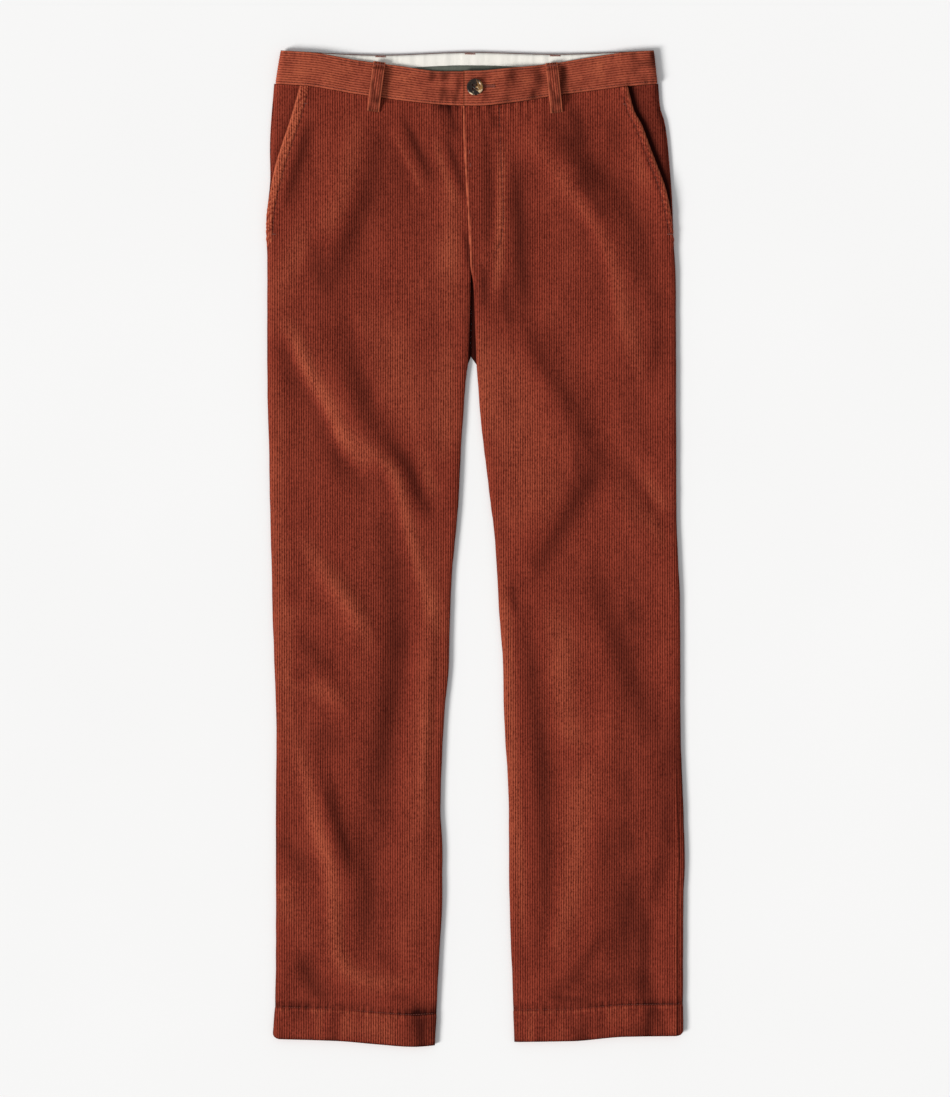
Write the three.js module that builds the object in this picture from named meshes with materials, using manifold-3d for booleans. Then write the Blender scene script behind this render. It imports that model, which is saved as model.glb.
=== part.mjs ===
// Corduroy trousers, laid flat on their back with the front facing up.
// Millimetres. +Z is up, +Y points to the waist and +X to the right of someone who looks down on the front.
// "left" and "right" are that viewer's, and "drop" is the distance below the highest point of the waist.
import * as THREE from "three";
import { mergeVertices } from "three/addons/utils/BufferGeometryUtils.js";
import Module from "manifold-3d";

const wasm = await Module();
wasm.setup();

// Cloth
const CLOTH = 1.4; // the wall of one ply of corduroy, up to the grooves
const WALE_PITCH = 2.77; // from one rib of the corduroy to the next
const WALE_RISE = 0.5; // a rib's crest above its grooves
const SEAM = 0.3; // between two pieces that are sewn together or lie on each other
const WAIST_SEAM = 0.6; // below the front waistband, where the coarse insides turn less sharply
const UNDER_COLUMN = 10; // between the points of a plain inside

// How the layers lie on each other
const ROLL = 8; // how far in from the silhouette the cloth starts to round over
const SEAM_HEIGHT = 3; // the side seams and inseams above the floor
const FRONT_TOP = 5.6; // the flat front of a leg above the floor
const LEG_LOFT = 1.1; // the crown in the middle of a leg
const LOFT = { above: 260, top: 400, bottom: 1040, below: 1140 }; // drops between which a leg is crowned
const HIP_RISE = 1.4; // the hips, over the pockets
const HIP = { low: 300, high: 215 }; // drops between which the hips rise
const WAIST_RISE = 0.5; // the last stretch up to the waistband
const WAIST = { low: 110, high: 66 }; // drops between which it rises
const ROLL_STEPS = 3; // facets of a rounded edge
const NO_ROLL = 0.5; // where less of a rounded edge is left than this, it is cut off whole

// Waistband
const BAND = 2.6; // the front waistband's plies
const BAND_TOP = 8.6;
const BAND_SEAM_HEIGHT = 4.4;
const BAND_ROLL = 7;
const BAND_WALES = 14; // ribs run along the band
const BAND_STEP = 14 * WALE_PITCH; // from one station of a waistband to the next
const BACK_BAND = 1.6;
const BACK_BAND_DEPTH = 38;
const BACK_BAND_STEPS = 4;
const LINING = { thick: 0.9, start: 0.8, depth: 35 }; // start is below the back waistband's upper edge
const TAPE = { thick: 0.7, start: 15.5, depth: 14 };
const STRIP = { from: -216, to: 194, steps: 8 }; // both run from one x to the other

// Fly and centre seams
const UNDERLAP = 12; // how far the left front runs on below the fly's edge
const BAND_UNDERLAP = 26;
const BAND_LAP = { level: 53, end: 90 }; // how far from the fly the right half stays lifted
const LAP_LIFT = 2; // the right front is lifted this much where it lies on the left one
const LAP_WIDTH = 46;
const LAP_FULL = 4; // from the fly's edge
const LAP_FADE = { low: 42, high: -8 }; // below the fly's end
const FLY_END = 244; // drop
const UNDERLAP_END = { start: 205, end: 236 }; // drops between which the underlap narrows to nothing
// Drops at which the legs part and their edges round over
const FORK = { fly: 254, split: 251, start: 248, round: 285 };
const CENTRE_BACK = -6;
const CROTCH = 355; // drop of the seat's lowest point
const CROTCH_ROUND = 372; // drop at which a back's inseam edge is wholly rounded

// Hem
const HEM_DEPTH = 38;
const HEM_CLOTH = 2.4; // the turned-up hem is two plies
const HEM_CORNER = 6; // how much a leg's corner is rounded
const HEM_ROW = 1140;
const HEM_BEND = 1000; // rows below this drop bend more and more with the hem
const TOP_ROW = 38.5;
const WAIST_BEND = 300; // rows above this drop bend more and more with the waist seam

// The silhouette's edges, down the garment
const LEFT_SIDE = [
  { drop: 38, x: -232.5 },
  { drop: 115, x: -237.5 },
  { drop: 145, x: -237 },
  { drop: 198, x: -241.5 },
  { drop: 245, x: -240 },
  { drop: 357, x: -240 },
  { drop: 467, x: -238 },
  { drop: 645, x: -234 },
  { drop: 794, x: -229.5 },
  { drop: 860, x: -230.2 },
  { drop: 1054, x: -230.2 },
  { drop: 1100, x: -231 },
  { drop: 1145, x: -233.5 },
];
const RIGHT_SIDE = [
  { drop: 38, x: 209.5 },
  { drop: 66, x: 211.5 },
  { drop: 86, x: 217.5 },
  { drop: 126, x: 222 },
  { drop: 177, x: 225.8 },
  { drop: 223, x: 227.3 },
  { drop: 277, x: 229.5 },
  { drop: 530, x: 230.2 },
  { drop: 645, x: 234.3 },
  { drop: 771, x: 234.8 },
  { drop: 898, x: 239 },
  { drop: 932, x: 239.8 },
  { drop: 978, x: 238.2 },
  { drop: 1145, x: 237.6 },
];
const LEFT_INSEAM = [
  { drop: 251, x: -6.3 },
  { drop: 355, x: -9.4 },
  { drop: 385, x: -12.7 },
  { drop: 467, x: -18.4 },
  { drop: 518, x: -20.7 },
  { drop: 610, x: -28.8 },
  { drop: 716, x: -32.4 },
  { drop: 760, x: -36.8 },
  { drop: 875, x: -41.4 },
  { drop: 921, x: -39.3 },
  { drop: 967, x: -39.3 },
  { drop: 1054, x: -43.7 },
  { drop: 1145, x: -48.5 },
];
const RIGHT_INSEAM = [
  { drop: 251, x: -5.5 },
  { drop: 267, x: -3.2 },
  { drop: 311, x: -0.9 },
  { drop: 355, x: 0.6 },
  { drop: 385, x: 2.5 },
  { drop: 426, x: 5.8 },
  { drop: 523, x: 17.2 },
  { drop: 564, x: 22.1 },
  { drop: 661, x: 27.8 },
  { drop: 708, x: 31.3 },
  { drop: 760, x: 32.4 },
  { drop: 875, x: 38 },
  { drop: 944, x: 38.2 },
  { drop: 1059, x: 41.6 },
  { drop: 1145, x: 45 },
];
// The fly's edge, which is the right front's own edge
const FLY_EDGE = [
  { drop: 20, x: -14.7 },
  { drop: 64, x: -14.4 },
  { drop: 231, x: -6.3 },
  { drop: 251, x: -5.5 },
];
// The front waistband across the garment: its upper edge and the seam below it
const FRONT_BAND = [
  { x: -231, top: 0.8, seam: 39 },
  { x: -192, top: 3.4, seam: 42 },
  { x: -141, top: 12, seam: 50.5 },
  { x: -91, top: 18.6, seam: 57.8 },
  { x: -40, top: 24.8, seam: 63.2 },
  { x: 0, top: 24.6, seam: 64.8 },
  { x: 40, top: 21.2, seam: 61.2 },
  { x: 90, top: 15.8, seam: 53 },
  { x: 135, top: 8.6, seam: 47 },
  { x: 175, top: 3, seam: 42 },
  { x: 209, top: 0.8, seam: 39 },
];
// The back waistband's upper edge
const BACK_BAND_TOP = [
  { x: -228, drop: 0.4 },
  { x: -110, drop: 5.6 },
  { x: -8, drop: 2.4 },
  { x: 91, drop: 4.6 },
  { x: 206, drop: 0.4 },
];
const BAND_ENDS = { left: { top: -225, seam: -231 }, right: { top: 204.5, seam: 208.7 } };
const LEFT_HEM = [
  { x: -232, drop: 1138 },
  { x: -157, drop: 1140.5 },
  { x: -116, drop: 1144 },
  { x: -72, drop: 1147 },
  { x: -48, drop: 1145.5 },
];
const RIGHT_HEM = [
  { x: 46, drop: 1141.5 },
  { x: 110, drop: 1140.5 },
  { x: 171, drop: 1135.5 },
  { x: 237, drop: 1134.5 },
];
// The slanted pocket mouths, as distances along the cloth from the side seam
const POCKET_MOUTH = [
  { drop: 38, left: 34, right: 40 },
  { drop: 80, left: 26, right: 32 },
  { drop: 107, left: 18.5, right: 26 },
  { drop: 134, left: 10, right: 18.5 },
  { drop: 156, left: 4.5, right: 12 },
  { drop: 180, left: 2.2, right: 7 },
  { drop: 218, left: 0, right: 0 },
];
const POCKET_END = 218;
const FACING_OVERLAP = 14;
const POCKET_GAPE = { left: 0.1, right: 2.4 }; // how far a mouth stands open
const POCKET_GAPE_WIDTH = 26;
const POCKET_GAPE_END = { start: 150, end: 215 }; // drops between which it closes

// The largest folds. Each is a soft ridge along a bow through three points, or a trough if rise is negative.
const FOLDS = [
  { x0: -202, drop0: 309, xm: -142, dropm: 417, x1: -59, drop1: 541, width: 22, rise: 4.6 },
  { x0: -220, drop0: 357, xm: -202, dropm: 415, x1: -167, drop1: 484, width: 20, rise: -2 },
  { x0: -142, drop0: 72, xm: -154, dropm: 173, x1: -173, drop1: 277, width: 24, rise: 3 },
  { x0: -104, drop0: 116, xm: -126, dropm: 213, x1: -130, drop1: 323, width: 24, rise: -2.4 },
  { x0: -104, drop0: 403, xm: -70, dropm: 466, x1: -41, drop1: 524, width: 16, rise: -1.6 },
  { x0: -188, drop0: 587, xm: -150, dropm: 633, x1: -112, drop1: 679, width: 14, rise: 2.8 },
  { x0: -206, drop0: 679, xm: -167, dropm: 734, x1: -137, drop1: 766, width: 12, rise: 2.2 },
  { x0: -84, drop0: 610, xm: -89, dropm: 771, x1: -105, drop1: 944, width: 18, rise: -2.4 },
  { x0: -50, drop0: 633, xm: -53, dropm: 806, x1: -59, drop1: 955, width: 14, rise: 2 },
  { x0: -196, drop0: 800, xm: -170, dropm: 875, x1: -150, drop1: 978, width: 15, rise: 4 },
  { x0: -150, drop0: 852, xm: -124, dropm: 921, x1: -119, drop1: 1013, width: 14, rise: -2 },
  { x0: 60, drop0: 87, xm: 132, dropm: 162, x1: 189, drop1: 288, width: 24, rise: 4.4 },
  { x0: 143, drop0: 93, xm: 186, dropm: 173, x1: 205, drop1: 242, width: 18, rise: -1.8 },
  { x0: 40, drop0: 323, xm: 93, dropm: 403, x1: 104, drop1: 484, width: 24, rise: 3.4 },
  { x0: 97, drop0: 323, xm: 140, dropm: 403, x1: 150, drop1: 449, width: 18, rise: -1.6 },
  { x0: 109, drop0: 495, xm: 74, dropm: 541, x1: 42, drop1: 604, width: 18, rise: 3 },
  { x0: 143, drop0: 438, xm: 189, dropm: 493, x1: 222, drop1: 541, width: 13, rise: -2 },
  { x0: 132, drop0: 489, xm: 172, dropm: 530, x1: 206, drop1: 587, width: 14, rise: 2.6 },
  { x0: 83, drop0: 679, xm: 91, dropm: 794, x1: 97, drop1: 932, width: 13, rise: -1.8 },
  { x0: 157, drop0: 656, xm: 152, dropm: 794, x1: 137, drop1: 978, width: 20, rise: 3.2 },
  { x0: 206, drop0: 656, xm: 212, dropm: 817, x1: 189, drop1: 1036, width: 16, rise: -1.8 },
];
const FOLD_STEPS = 8;
// How far from an edge or seam the cloth is still flat, and how far from it the folds are whole
const CALM = {
  fly: { flat: 2, whole: 26 },
  inseam: { flat: ROLL, whole: 22 },
  side: { flat: ROLL, whole: 24 },
  waist: { flat: 2, whole: 34 },
  hem: { flat: 1112, whole: 1060 }, // drops
};

// Belt loops
const LOOP = { width: 14, cloth: 1.6, bridge: 4.5, sewn: 6, ramp: 4, wales: 5, probes: [-0.6, 0, 0.6] };
const FRONT_LOOPS = [
  { name: "belt_loop_front_left", topX: -111, topDrop: 14.5, endX: -118.5, endDrop: 71.5 },
  { name: "belt_loop_front_right", topX: 86.5, topDrop: 15.5, endX: 92.5, endDrop: 73 },
];
const BACK_LOOPS = [
  { name: "belt_loop_back_left", x: -110 },
  { name: "belt_loop_back_centre", x: -7 },
  { name: "belt_loop_back_right", x: 91 },
];
const BACK_LOOP = { width: 13, cloth: 1.4, tail: 12 };
const BACK_LIFT = BACK_LOOP.cloth + SEAM; // the back waistband rests on its loops
const BACK_LIFT_END = { start: 54, end: 84 }; // below the back's upper edge

// Button
const BUTTON = { x: -1.4, drop: 43.9, diameter: 19, thick: 3, rim: 2.2, dish: 0.9, hole: 1.8, spread: 4.6 };

// Nominal drops of the rows of a front and of a back
const FRONT_ROWS = [
  38.5, 90, 140, 185, 222, 256, 300, 350, 400, 450, 505, 565, 640, 725, 815, 905, 1005, 1102, 1140,
];
const BACK_ROWS = [40, 54, 90, 150, 250, CROTCH, CROTCH_ROUND, 480, 640, 800, 960, 1102, 1140];
const BACK_BEND = { full: 60, end: 200 }; // a back's rows bend with the waist down to these drops
const BACK_COLUMNS = 5;

const clamp = (value, low, high) => Math.min(high, Math.max(low, value));

// 0 before `from`, 1 after `to` and smooth in between. `from` may be the larger one.
function ease(value, from, to) {
  const share = clamp((value - from) / (to - from), 0, 1);
  return share * share * (3 - 2 * share);
}

// A smooth curve through one column of a table against another, which never swings past its rows.
function curve(rows, along, column) {
  const at = rows.map((row) => row[along]);
  const value = rows.map((row) => row[column]);
  const last = at.length - 1;
  const slope = at.slice(1).map((next, i) => (value[i + 1] - value[i]) / (next - at[i]));
  const tangent = at.map((_, i) => {
    if (i === 0 || i === last) return slope[i === 0 ? 0 : last - 1];
    const [before, after] = [slope[i - 1], slope[i]];
    return before * after <= 0 ? 0 : (2 * before * after) / (before + after);
  });
  return (where) => {
    const here = clamp(where, at[0], at[last]);
    const i = clamp(at.findIndex((next) => next >= here) - 1, 0, last - 1);
    const gap = at[i + 1] - at[i];
    const t = (here - at[i]) / gap;
    const s = 1 - t;
    return (
      value[i] * s * s * (1 + 2 * t) +
      value[i + 1] * t * t * (1 + 2 * s) +
      gap * t * s * (tangent[i] * s - tangent[i + 1] * t)
    );
  };
}

// The same curve as straight stretches of one length, so that what meets along it has the same corners.
const inSteps = (rule, step) => (x) => {
  const i = Math.floor(x / step);
  const t = x / step - i;
  return (1 - t) * rule(i * step) + t * rule((i + 1) * step);
};

const side = {
  left: { outer: curve(LEFT_SIDE, "drop", "x"), inner: curve(LEFT_INSEAM, "drop", "x"), sign: -1 },
  right: { outer: curve(RIGHT_SIDE, "drop", "x"), inner: curve(RIGHT_INSEAM, "drop", "x"), sign: 1 },
};
side.left.hem = curve(LEFT_HEM, "x", "drop");
side.right.hem = curve(RIGHT_HEM, "x", "drop");
side.left.mouth = curve(POCKET_MOUTH, "drop", "left");
side.right.mouth = curve(POCKET_MOUTH, "drop", "right");
const flyEdge = curve(FLY_EDGE, "drop", "x");
const bandTop = inSteps(curve(FRONT_BAND, "x", "top"), BAND_STEP);
const bandSeam = inSteps(curve(FRONT_BAND, "x", "seam"), BAND_STEP);
const backBandTop = curve(BACK_BAND_TOP, "x", "drop");

// The points of a fold's bow, which passes through its middle point.
function foldLine(fold) {
  const [cx, cd] = [
    2 * fold.xm - (fold.x0 + fold.x1) / 2,
    2 * fold.dropm - (fold.drop0 + fold.drop1) / 2,
  ];
  return Array.from({ length: FOLD_STEPS + 1 }, (_, i) => {
    const t = i / FOLD_STEPS;
    const [a, b, c] = [(1 - t) * (1 - t), 2 * t * (1 - t), t * t];
    return [a * fold.x0 + b * cx + c * fold.x1, a * fold.drop0 + b * cd + c * fold.drop1];
  });
}
const foldLines = FOLDS.map((fold) => ({ ...fold, line: foldLine(fold) }));

// How much the folds lift the cloth at a place.
function foldRise(x, drop) {
  let rise = 0;
  for (const fold of foldLines) {
    let nearest = Infinity;
    let along = 0;
    for (let i = 0; i < FOLD_STEPS; i++) {
      const [[ax, ad], [bx, bd]] = [fold.line[i], fold.line[i + 1]];
      const [ux, ud] = [bx - ax, bd - ad];
      const t = clamp(((x - ax) * ux + (drop - ad) * ud) / (ux * ux + ud * ud), 0, 1);
      const away = Math.hypot(x - ax - t * ux, drop - ad - t * ud);
      if (away < nearest) {
        nearest = away;
        along = (i + t) / FOLD_STEPS;
      }
    }
    const fade = 1 - Math.abs(2 * along - 1) ** 3;
    rise += fold.rise * fade * Math.exp(-((nearest / fold.width) ** 2));
  }
  return rise;
}

// A place's distance in from a front's outer edge.
const inset = (which, x, drop) => Math.abs(x - side[which].outer(drop));

// The level of the flat front, which rises over the hips and towards the waist.
function hipLevel(drop) {
  const hips = HIP_RISE * ease(drop, HIP.low, HIP.high);
  return FRONT_TOP + hips + WAIST_RISE * ease(drop, WAIST.low, WAIST.high);
}

// The outer surface of a front above the floor, up to the corduroy's grooves.
function frontTop(which, x, drop) {
  const { outer, inner, sign } = side[which];
  const lap = drop < FORK.fly;
  const centre = lap ? flyEdge(drop) : inner(drop);
  const width = Math.abs(outer(drop) - centre);
  const fromSide = inset(which, x, drop);
  const fromCentre = sign * (x - centre);
  const middle = lap ? CALM.fly : CALM.inseam;
  const calm =
    ease(fromCentre, middle.flat, middle.whole) *
    ease(fromSide, CALM.side.flat, CALM.side.whole) *
    ease(drop - bandSeam(x), CALM.waist.flat, CALM.waist.whole) *
    ease(drop, CALM.hem.flat, CALM.hem.whole);
  const across = clamp(fromSide / width, 0, 1);
  const along = ease(drop, LOFT.above, LOFT.top) * ease(drop, LOFT.below, LOFT.bottom);
  const mouth = fromSide - side[which].mouth(drop) + ROLL * (Math.PI / 2 - 1);
  const gape = ease(mouth, POCKET_GAPE_WIDTH, 0) * ease(drop, POCKET_GAPE_END.end, POCKET_GAPE_END.start);
  const overlap =
    which === "right"
      ? ease(fromCentre, LAP_WIDTH, LAP_FULL) * ease(drop - FLY_END, LAP_FADE.low, LAP_FADE.high)
      : 0;
  return (
    hipLevel(drop) +
    LEG_LOFT * 4 * across * (1 - across) * along +
    foldRise(x, drop) * calm +
    POCKET_GAPE[which] * gape +
    LAP_LIFT * overlap
  );
}

// The same surface as it is built, with straight lines from row to row.
function builtTop(which, x, drop) {
  const drops = FRONT_ROWS.map((nominal) => rowDrop(which, x, nominal, ROLL));
  const i = clamp(drops.findIndex((next) => next >= drop) - 1, 0, drops.length - 2);
  const t = (drop - drops[i]) / (drops[i + 1] - drops[i]);
  return (1 - t) * frontTop(which, x, drops[i]) + t * frontTop(which, x, drops[i + 1]);
}

// A row's true drop at a place: rows bend with the waist seam and with the hem.
function rowDrop(which, x, nominal, corner) {
  const atWaist = (bandSeam(x) + WAIST_SEAM - TOP_ROW) * (1 - ease(nominal, TOP_ROW, WAIST_BEND));
  return nominal + atWaist + hemShift(which, x, nominal, corner);
}

// How far a row is moved to follow the hem and its rounded corners, which are at a corner distance of 0.
function hemShift(which, x, nominal, corner) {
  const atHem = side[which].hem(x) - HEM_ROW - HEM_CORNER * (1 - ease(corner, 0, ROLL));
  return atHem * ease(nominal, HEM_BEND, HEM_ROW);
}

const clothAt = (nominal) => (nominal > HEM_ROW - HEM_DEPTH - 2 ? HEM_CLOTH : CLOTH);

// One row of both sheets across a front or a facing, from its rounded side edge to its inner edge.
function acrossRow({ which, nominal, from, innerEdge, innerRoll, top, cloth, ribs }) {
  const { outer, sign } = side[which];
  const out = outer(nominal) - sign * from.inset;
  const roll = ROLL - from.inset;
  const base = SEAM_HEIGHT + SEAM / 2;
  const row = { outer: [], inner: [] };
  const put = (sheet, x, z, cornerInset) => {
    const drop = rowDrop(which, x, nominal, cornerInset);
    row[sheet].push({ key: x, at: [x, -drop, z] });
  };
  const topAt = (x) => top(x, rowDrop(which, x, nominal, ROLL));
  const start = from.arc - (roll * Math.PI) / 2;
  const flatOut = out - sign * (roll + Math.max(0, start));
  const flatIn = innerEdge + sign * (innerRoll > 0 ? ROLL : 0);
  // The rounded side edge, or nothing of it where the pocket mouth cuts it away
  if (start < -NO_ROLL) {
    const height = topAt(flatOut);
    const first = from.arc / roll;
    for (let i = 0; i < ROLL_STEPS; i++) {
      const angle = first + ((Math.PI / 2 - first) * i) / ROLL_STEPS;
      for (const [sheet, less] of [["outer", 0], ["inner", cloth]]) {
        const x = out - sign * (roll - (roll - less) * Math.cos(angle));
        put(sheet, x, base + (height - base - less) * Math.sin(angle), roll * (1 - Math.cos(angle)));
      }
    }
  }
  const low = Math.min(flatOut, flatIn);
  const high = Math.max(flatOut, flatIn);
  const half = WALE_PITCH / 2;
  put("outer", flatOut, topAt(flatOut), ROLL);
  for (let i = Math.ceil((low + half / 2) / half); i * half < high - half / 2; i++) {
    const x = i * half;
    const raised = i % 2 === 0 && ribs(x, rowDrop(which, x, nominal, ROLL));
    put("outer", x, topAt(x) + (raised ? WALE_RISE : 0), ROLL);
  }
  put("outer", flatIn, topAt(flatIn), ROLL);
  const columns = Math.max(2, Math.round((high - low) / UNDER_COLUMN));
  for (let i = 0; i <= columns; i++) {
    const x = low + ((high - low) * i) / columns;
    put("inner", x, topAt(x) - cloth, ROLL);
  }
  // The rounded inseam edge
  if (innerRoll > 0) {
    const height = topAt(flatIn);
    for (let i = 1; i <= ROLL_STEPS; i++) {
      const angle = (Math.PI / 2) * (1 - i / ROLL_STEPS);
      for (const [sheet, less] of [["outer", 0], ["inner", cloth]]) {
        const x = flatIn - sign * (ROLL - less) * Math.cos(angle);
        const fall = (height - base - less) * (1 - Math.sin(angle)) * innerRoll;
        put(sheet, x, height - less - fall, ROLL * (1 - Math.cos(angle)));
      }
    }
  }
  for (const sheet of ["outer", "inner"]) row[sheet].sort((a, b) => a.key - b.key);
  return row;
}

// A closed wall between two sheets of points, with as many rows in each. Points in a row are sorted by key.
function wall(rows) {
  const points = [];
  const faces = [];
  const place = (row) => row.map(({ key, at }) => ({ key, index: points.push(at) - 1 }));
  const strip = (a, b) => {
    let i = 0;
    let k = 0;
    while (i < a.length - 1 || k < b.length - 1) {
      const stepA =
        k === b.length - 1 ||
        (i < a.length - 1 && a[i].key + a[i + 1].key <= b[k].key + b[k + 1].key);
      const next = stepA ? a[i + 1] : b[k + 1];
      faces.push([a[i].index, b[k].index, next.index]);
      if (stepA) i++;
      else k++;
    }
  };
  const outer = rows.map((row) => place(row.outer));
  const inner = rows.map((row) => place(row.inner));
  const last = rows.length - 1;
  for (let r = 0; r < last; r++) {
    strip(outer[r], outer[r + 1]);
    strip(inner[r + 1], inner[r]);
  }
  strip(inner[0], outer[0]);
  strip(outer[last], inner[last]);
  const column = (sheet, end) => sheet.map((row, key) => ({ key, index: row.at(end).index }));
  strip(column(outer, 0), column(inner, 0));
  strip(column(inner, -1), column(outer, -1));
  return closed(points, faces);
}

// The geometry of a closed body, with its faces turned outwards.
function closed(points, faces) {
  const volume = faces.reduce((sum, [a, b, c]) => {
    const [p, q, r] = [points[a], points[b], points[c]].map((at) => new THREE.Vector3(...at));
    return sum + p.dot(q.cross(r));
  }, 0);
  const index = volume < 0 ? faces.flatMap(([a, b, c]) => [a, c, b]) : faces.flat();
  const geometry = new THREE.BufferGeometry();
  geometry.setAttribute("position", new THREE.Float32BufferAttribute(points.flat(), 3));
  geometry.setIndex(index);
  return geometry;
}

// A front: the panel from the pocket mouth and side seam to the fly and inseam, from waist seam to hem.
function front(which) {
  const { inner, sign, mouth } = side[which];
  const rows = FRONT_ROWS.map((nominal) => {
    const atFly = bandSeam(flyEdge(nominal)) - TOP_ROW;
    const deep = nominal + atFly * (1 - ease(nominal, TOP_ROW, WAIST_BEND));
    const underlap = which === "left" ? UNDERLAP * ease(deep, UNDERLAP_END.end, UNDERLAP_END.start) : 0;
    const innerEdge = deep < FORK.split ? flyEdge(deep) + underlap : inner(deep);
    return acrossRow({
      which,
      nominal,
      from: { arc: nominal < POCKET_END ? mouth(nominal) : 0, inset: 0 },
      innerEdge,
      innerRoll: ease(deep, FORK.start, FORK.round),
      top: (x, drop) => frontTop(which, x, drop),
      cloth: clothAt(nominal),
      ribs: (x, drop) => drop > FLY_END || sign * (x - flyEdge(drop)) > (which === "left" ? 1 : 0),
    });
  });
  return wall(rows);
}

// The piece of corduroy that shows behind a pocket mouth. It lies one ply below the front.
function pocketFacing(which) {
  const { outer, sign, mouth } = side[which];
  const below = CLOTH + 2 * SEAM;
  const rows = [TOP_ROW, 80, 120, 155, 190, POCKET_END - 4].map((nominal) => {
    const reach = mouth(nominal) + FACING_OVERLAP - ROLL * (Math.PI / 2 - 1);
    const hidden = (x) => Math.abs(x - outer(nominal)) > reach - FACING_OVERLAP - 3;
    return acrossRow({
      which,
      nominal,
      from: { arc: 0, inset: below },
      innerEdge: outer(nominal) - sign * Math.max(reach, ROLL + 8),
      innerRoll: 0,
      top: (x, drop) => hipLevel(drop) - below,
      cloth: CLOTH,
      ribs: (x) => !hidden(x),
    });
  });
  return wall(rows);
}

// The back's underside above the floor: flat, but for the stretch that its belt loops lift.
function backFloor(drop, x) {
  return BACK_LIFT * ease(drop - backBandTop(x), BACK_LIFT_END.end, BACK_LIFT_END.start);
}

// A back: it lies on the floor and rounds up to the side seam, and below the crotch to the inseam.
function back(which) {
  const { outer, inner, sign } = side[which];
  const base = SEAM_HEIGHT - SEAM / 2;
  const rows = BACK_ROWS.map((nominal) => {
    const cloth = clothAt(nominal);
    const out = outer(nominal);
    const seat = nominal <= CROTCH;
    const innerEdge = seat ? CENTRE_BACK + (sign * SEAM) / 2 : inner(nominal);
    const up = seat ? 0 : ease(nominal, CROTCH, CROTCH_ROUND);
    const row = { outer: [], inner: [] };
    const put = (x, corner, lift) => {
      const atWaist = backBandTop(x) + BACK_BAND_DEPTH + SEAM - BACK_ROWS[0];
      const shift = atWaist * (1 - ease(nominal, BACK_BEND.full, BACK_BEND.end));
      const drop = nominal + shift + hemShift(which, x, nominal, corner);
      const floor = backFloor(drop, x);
      for (const [sheet, less] of [["outer", 0], ["inner", cloth]]) {
        const z = floor + less + (base - floor - less) * lift.height;
        const at = x + lift.side * less * lift.reach;
        row[sheet].push({ key: at, at: [at, -drop, z] });
      }
    };
    const outerFlat = out - sign * ROLL;
    const innerFlat = innerEdge + sign * ROLL;
    for (let i = 0; i < ROLL_STEPS; i++) {
      const angle = ((Math.PI / 2) * i) / ROLL_STEPS;
      const reach = Math.cos(angle);
      const height = 1 - Math.sin(angle);
      const corner = ROLL * (1 - reach);
      put(outerFlat + sign * ROLL * reach, corner, { height, side: -sign, reach });
      put(innerFlat - sign * ROLL * reach, corner, { height: height * up, side: sign, reach: reach * up });
    }
    for (let i = 0; i <= BACK_COLUMNS; i++) {
      const x = outerFlat + ((innerFlat - outerFlat) * i) / BACK_COLUMNS;
      put(x, ROLL, { height: 0, side: 0, reach: 0 });
    }
    for (const sheet of ["outer", "inner"]) row[sheet].sort((a, b) => a.key - b.key);
    return row;
  });
  return wall(rows);
}

// One station of a band or strip: points down its depth, ribbed on the outer sheet where ribs is set.
function bandStation({ xTop, xSeam, top, seam, z, zInner, xInner, ribs, key }) {
  const station = { outer: [], inner: [] };
  const steps = ribs ? 2 * BAND_WALES : 2;
  for (let i = 0; i <= steps; i++) {
    const u = i / steps;
    const rise = ribs && i % 2 === 1 ? WALE_RISE : 0;
    const drop = top + (seam - top) * u;
    station.outer.push({ key: u, at: [xTop + (xSeam - xTop) * u, -drop, z + rise] });
  }
  for (const u of [0, 0.5, 1]) {
    const x = xTop + (xSeam - xTop) * u + xInner;
    station.inner.push({ key: u, at: [x, -(top + (seam - top) * u), zInner] });
  }
  return { ...station, key };
}

// How high the front waistband lies: the right half laps over the left one at the fly.
const bandLift = inSteps((x) => {
  const fromFly = x - flyEdge(0);
  return (BAND + SEAM + WALE_RISE) * ease(fromFly, BAND_LAP.end, BAND_LAP.level);
}, BAND_STEP);
const bandHeight = (which, x) => BAND_TOP + (which === "right" ? bandLift(x) : 0);

// The places of a waistband's stations: both ends, and each whole step that isn't close to one of them.
function stationsBetween(from, to) {
  const close = BAND_STEP / 10;
  const [low, high] = [Math.min(from, to) + close, Math.max(from, to) - close];
  const places = [from, to];
  for (let i = Math.ceil(low / BAND_STEP); i * BAND_STEP < high; i++) places.push(i * BAND_STEP);
  return places.sort((a, b) => Math.sign(to - from) * (a - b));
}

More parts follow.
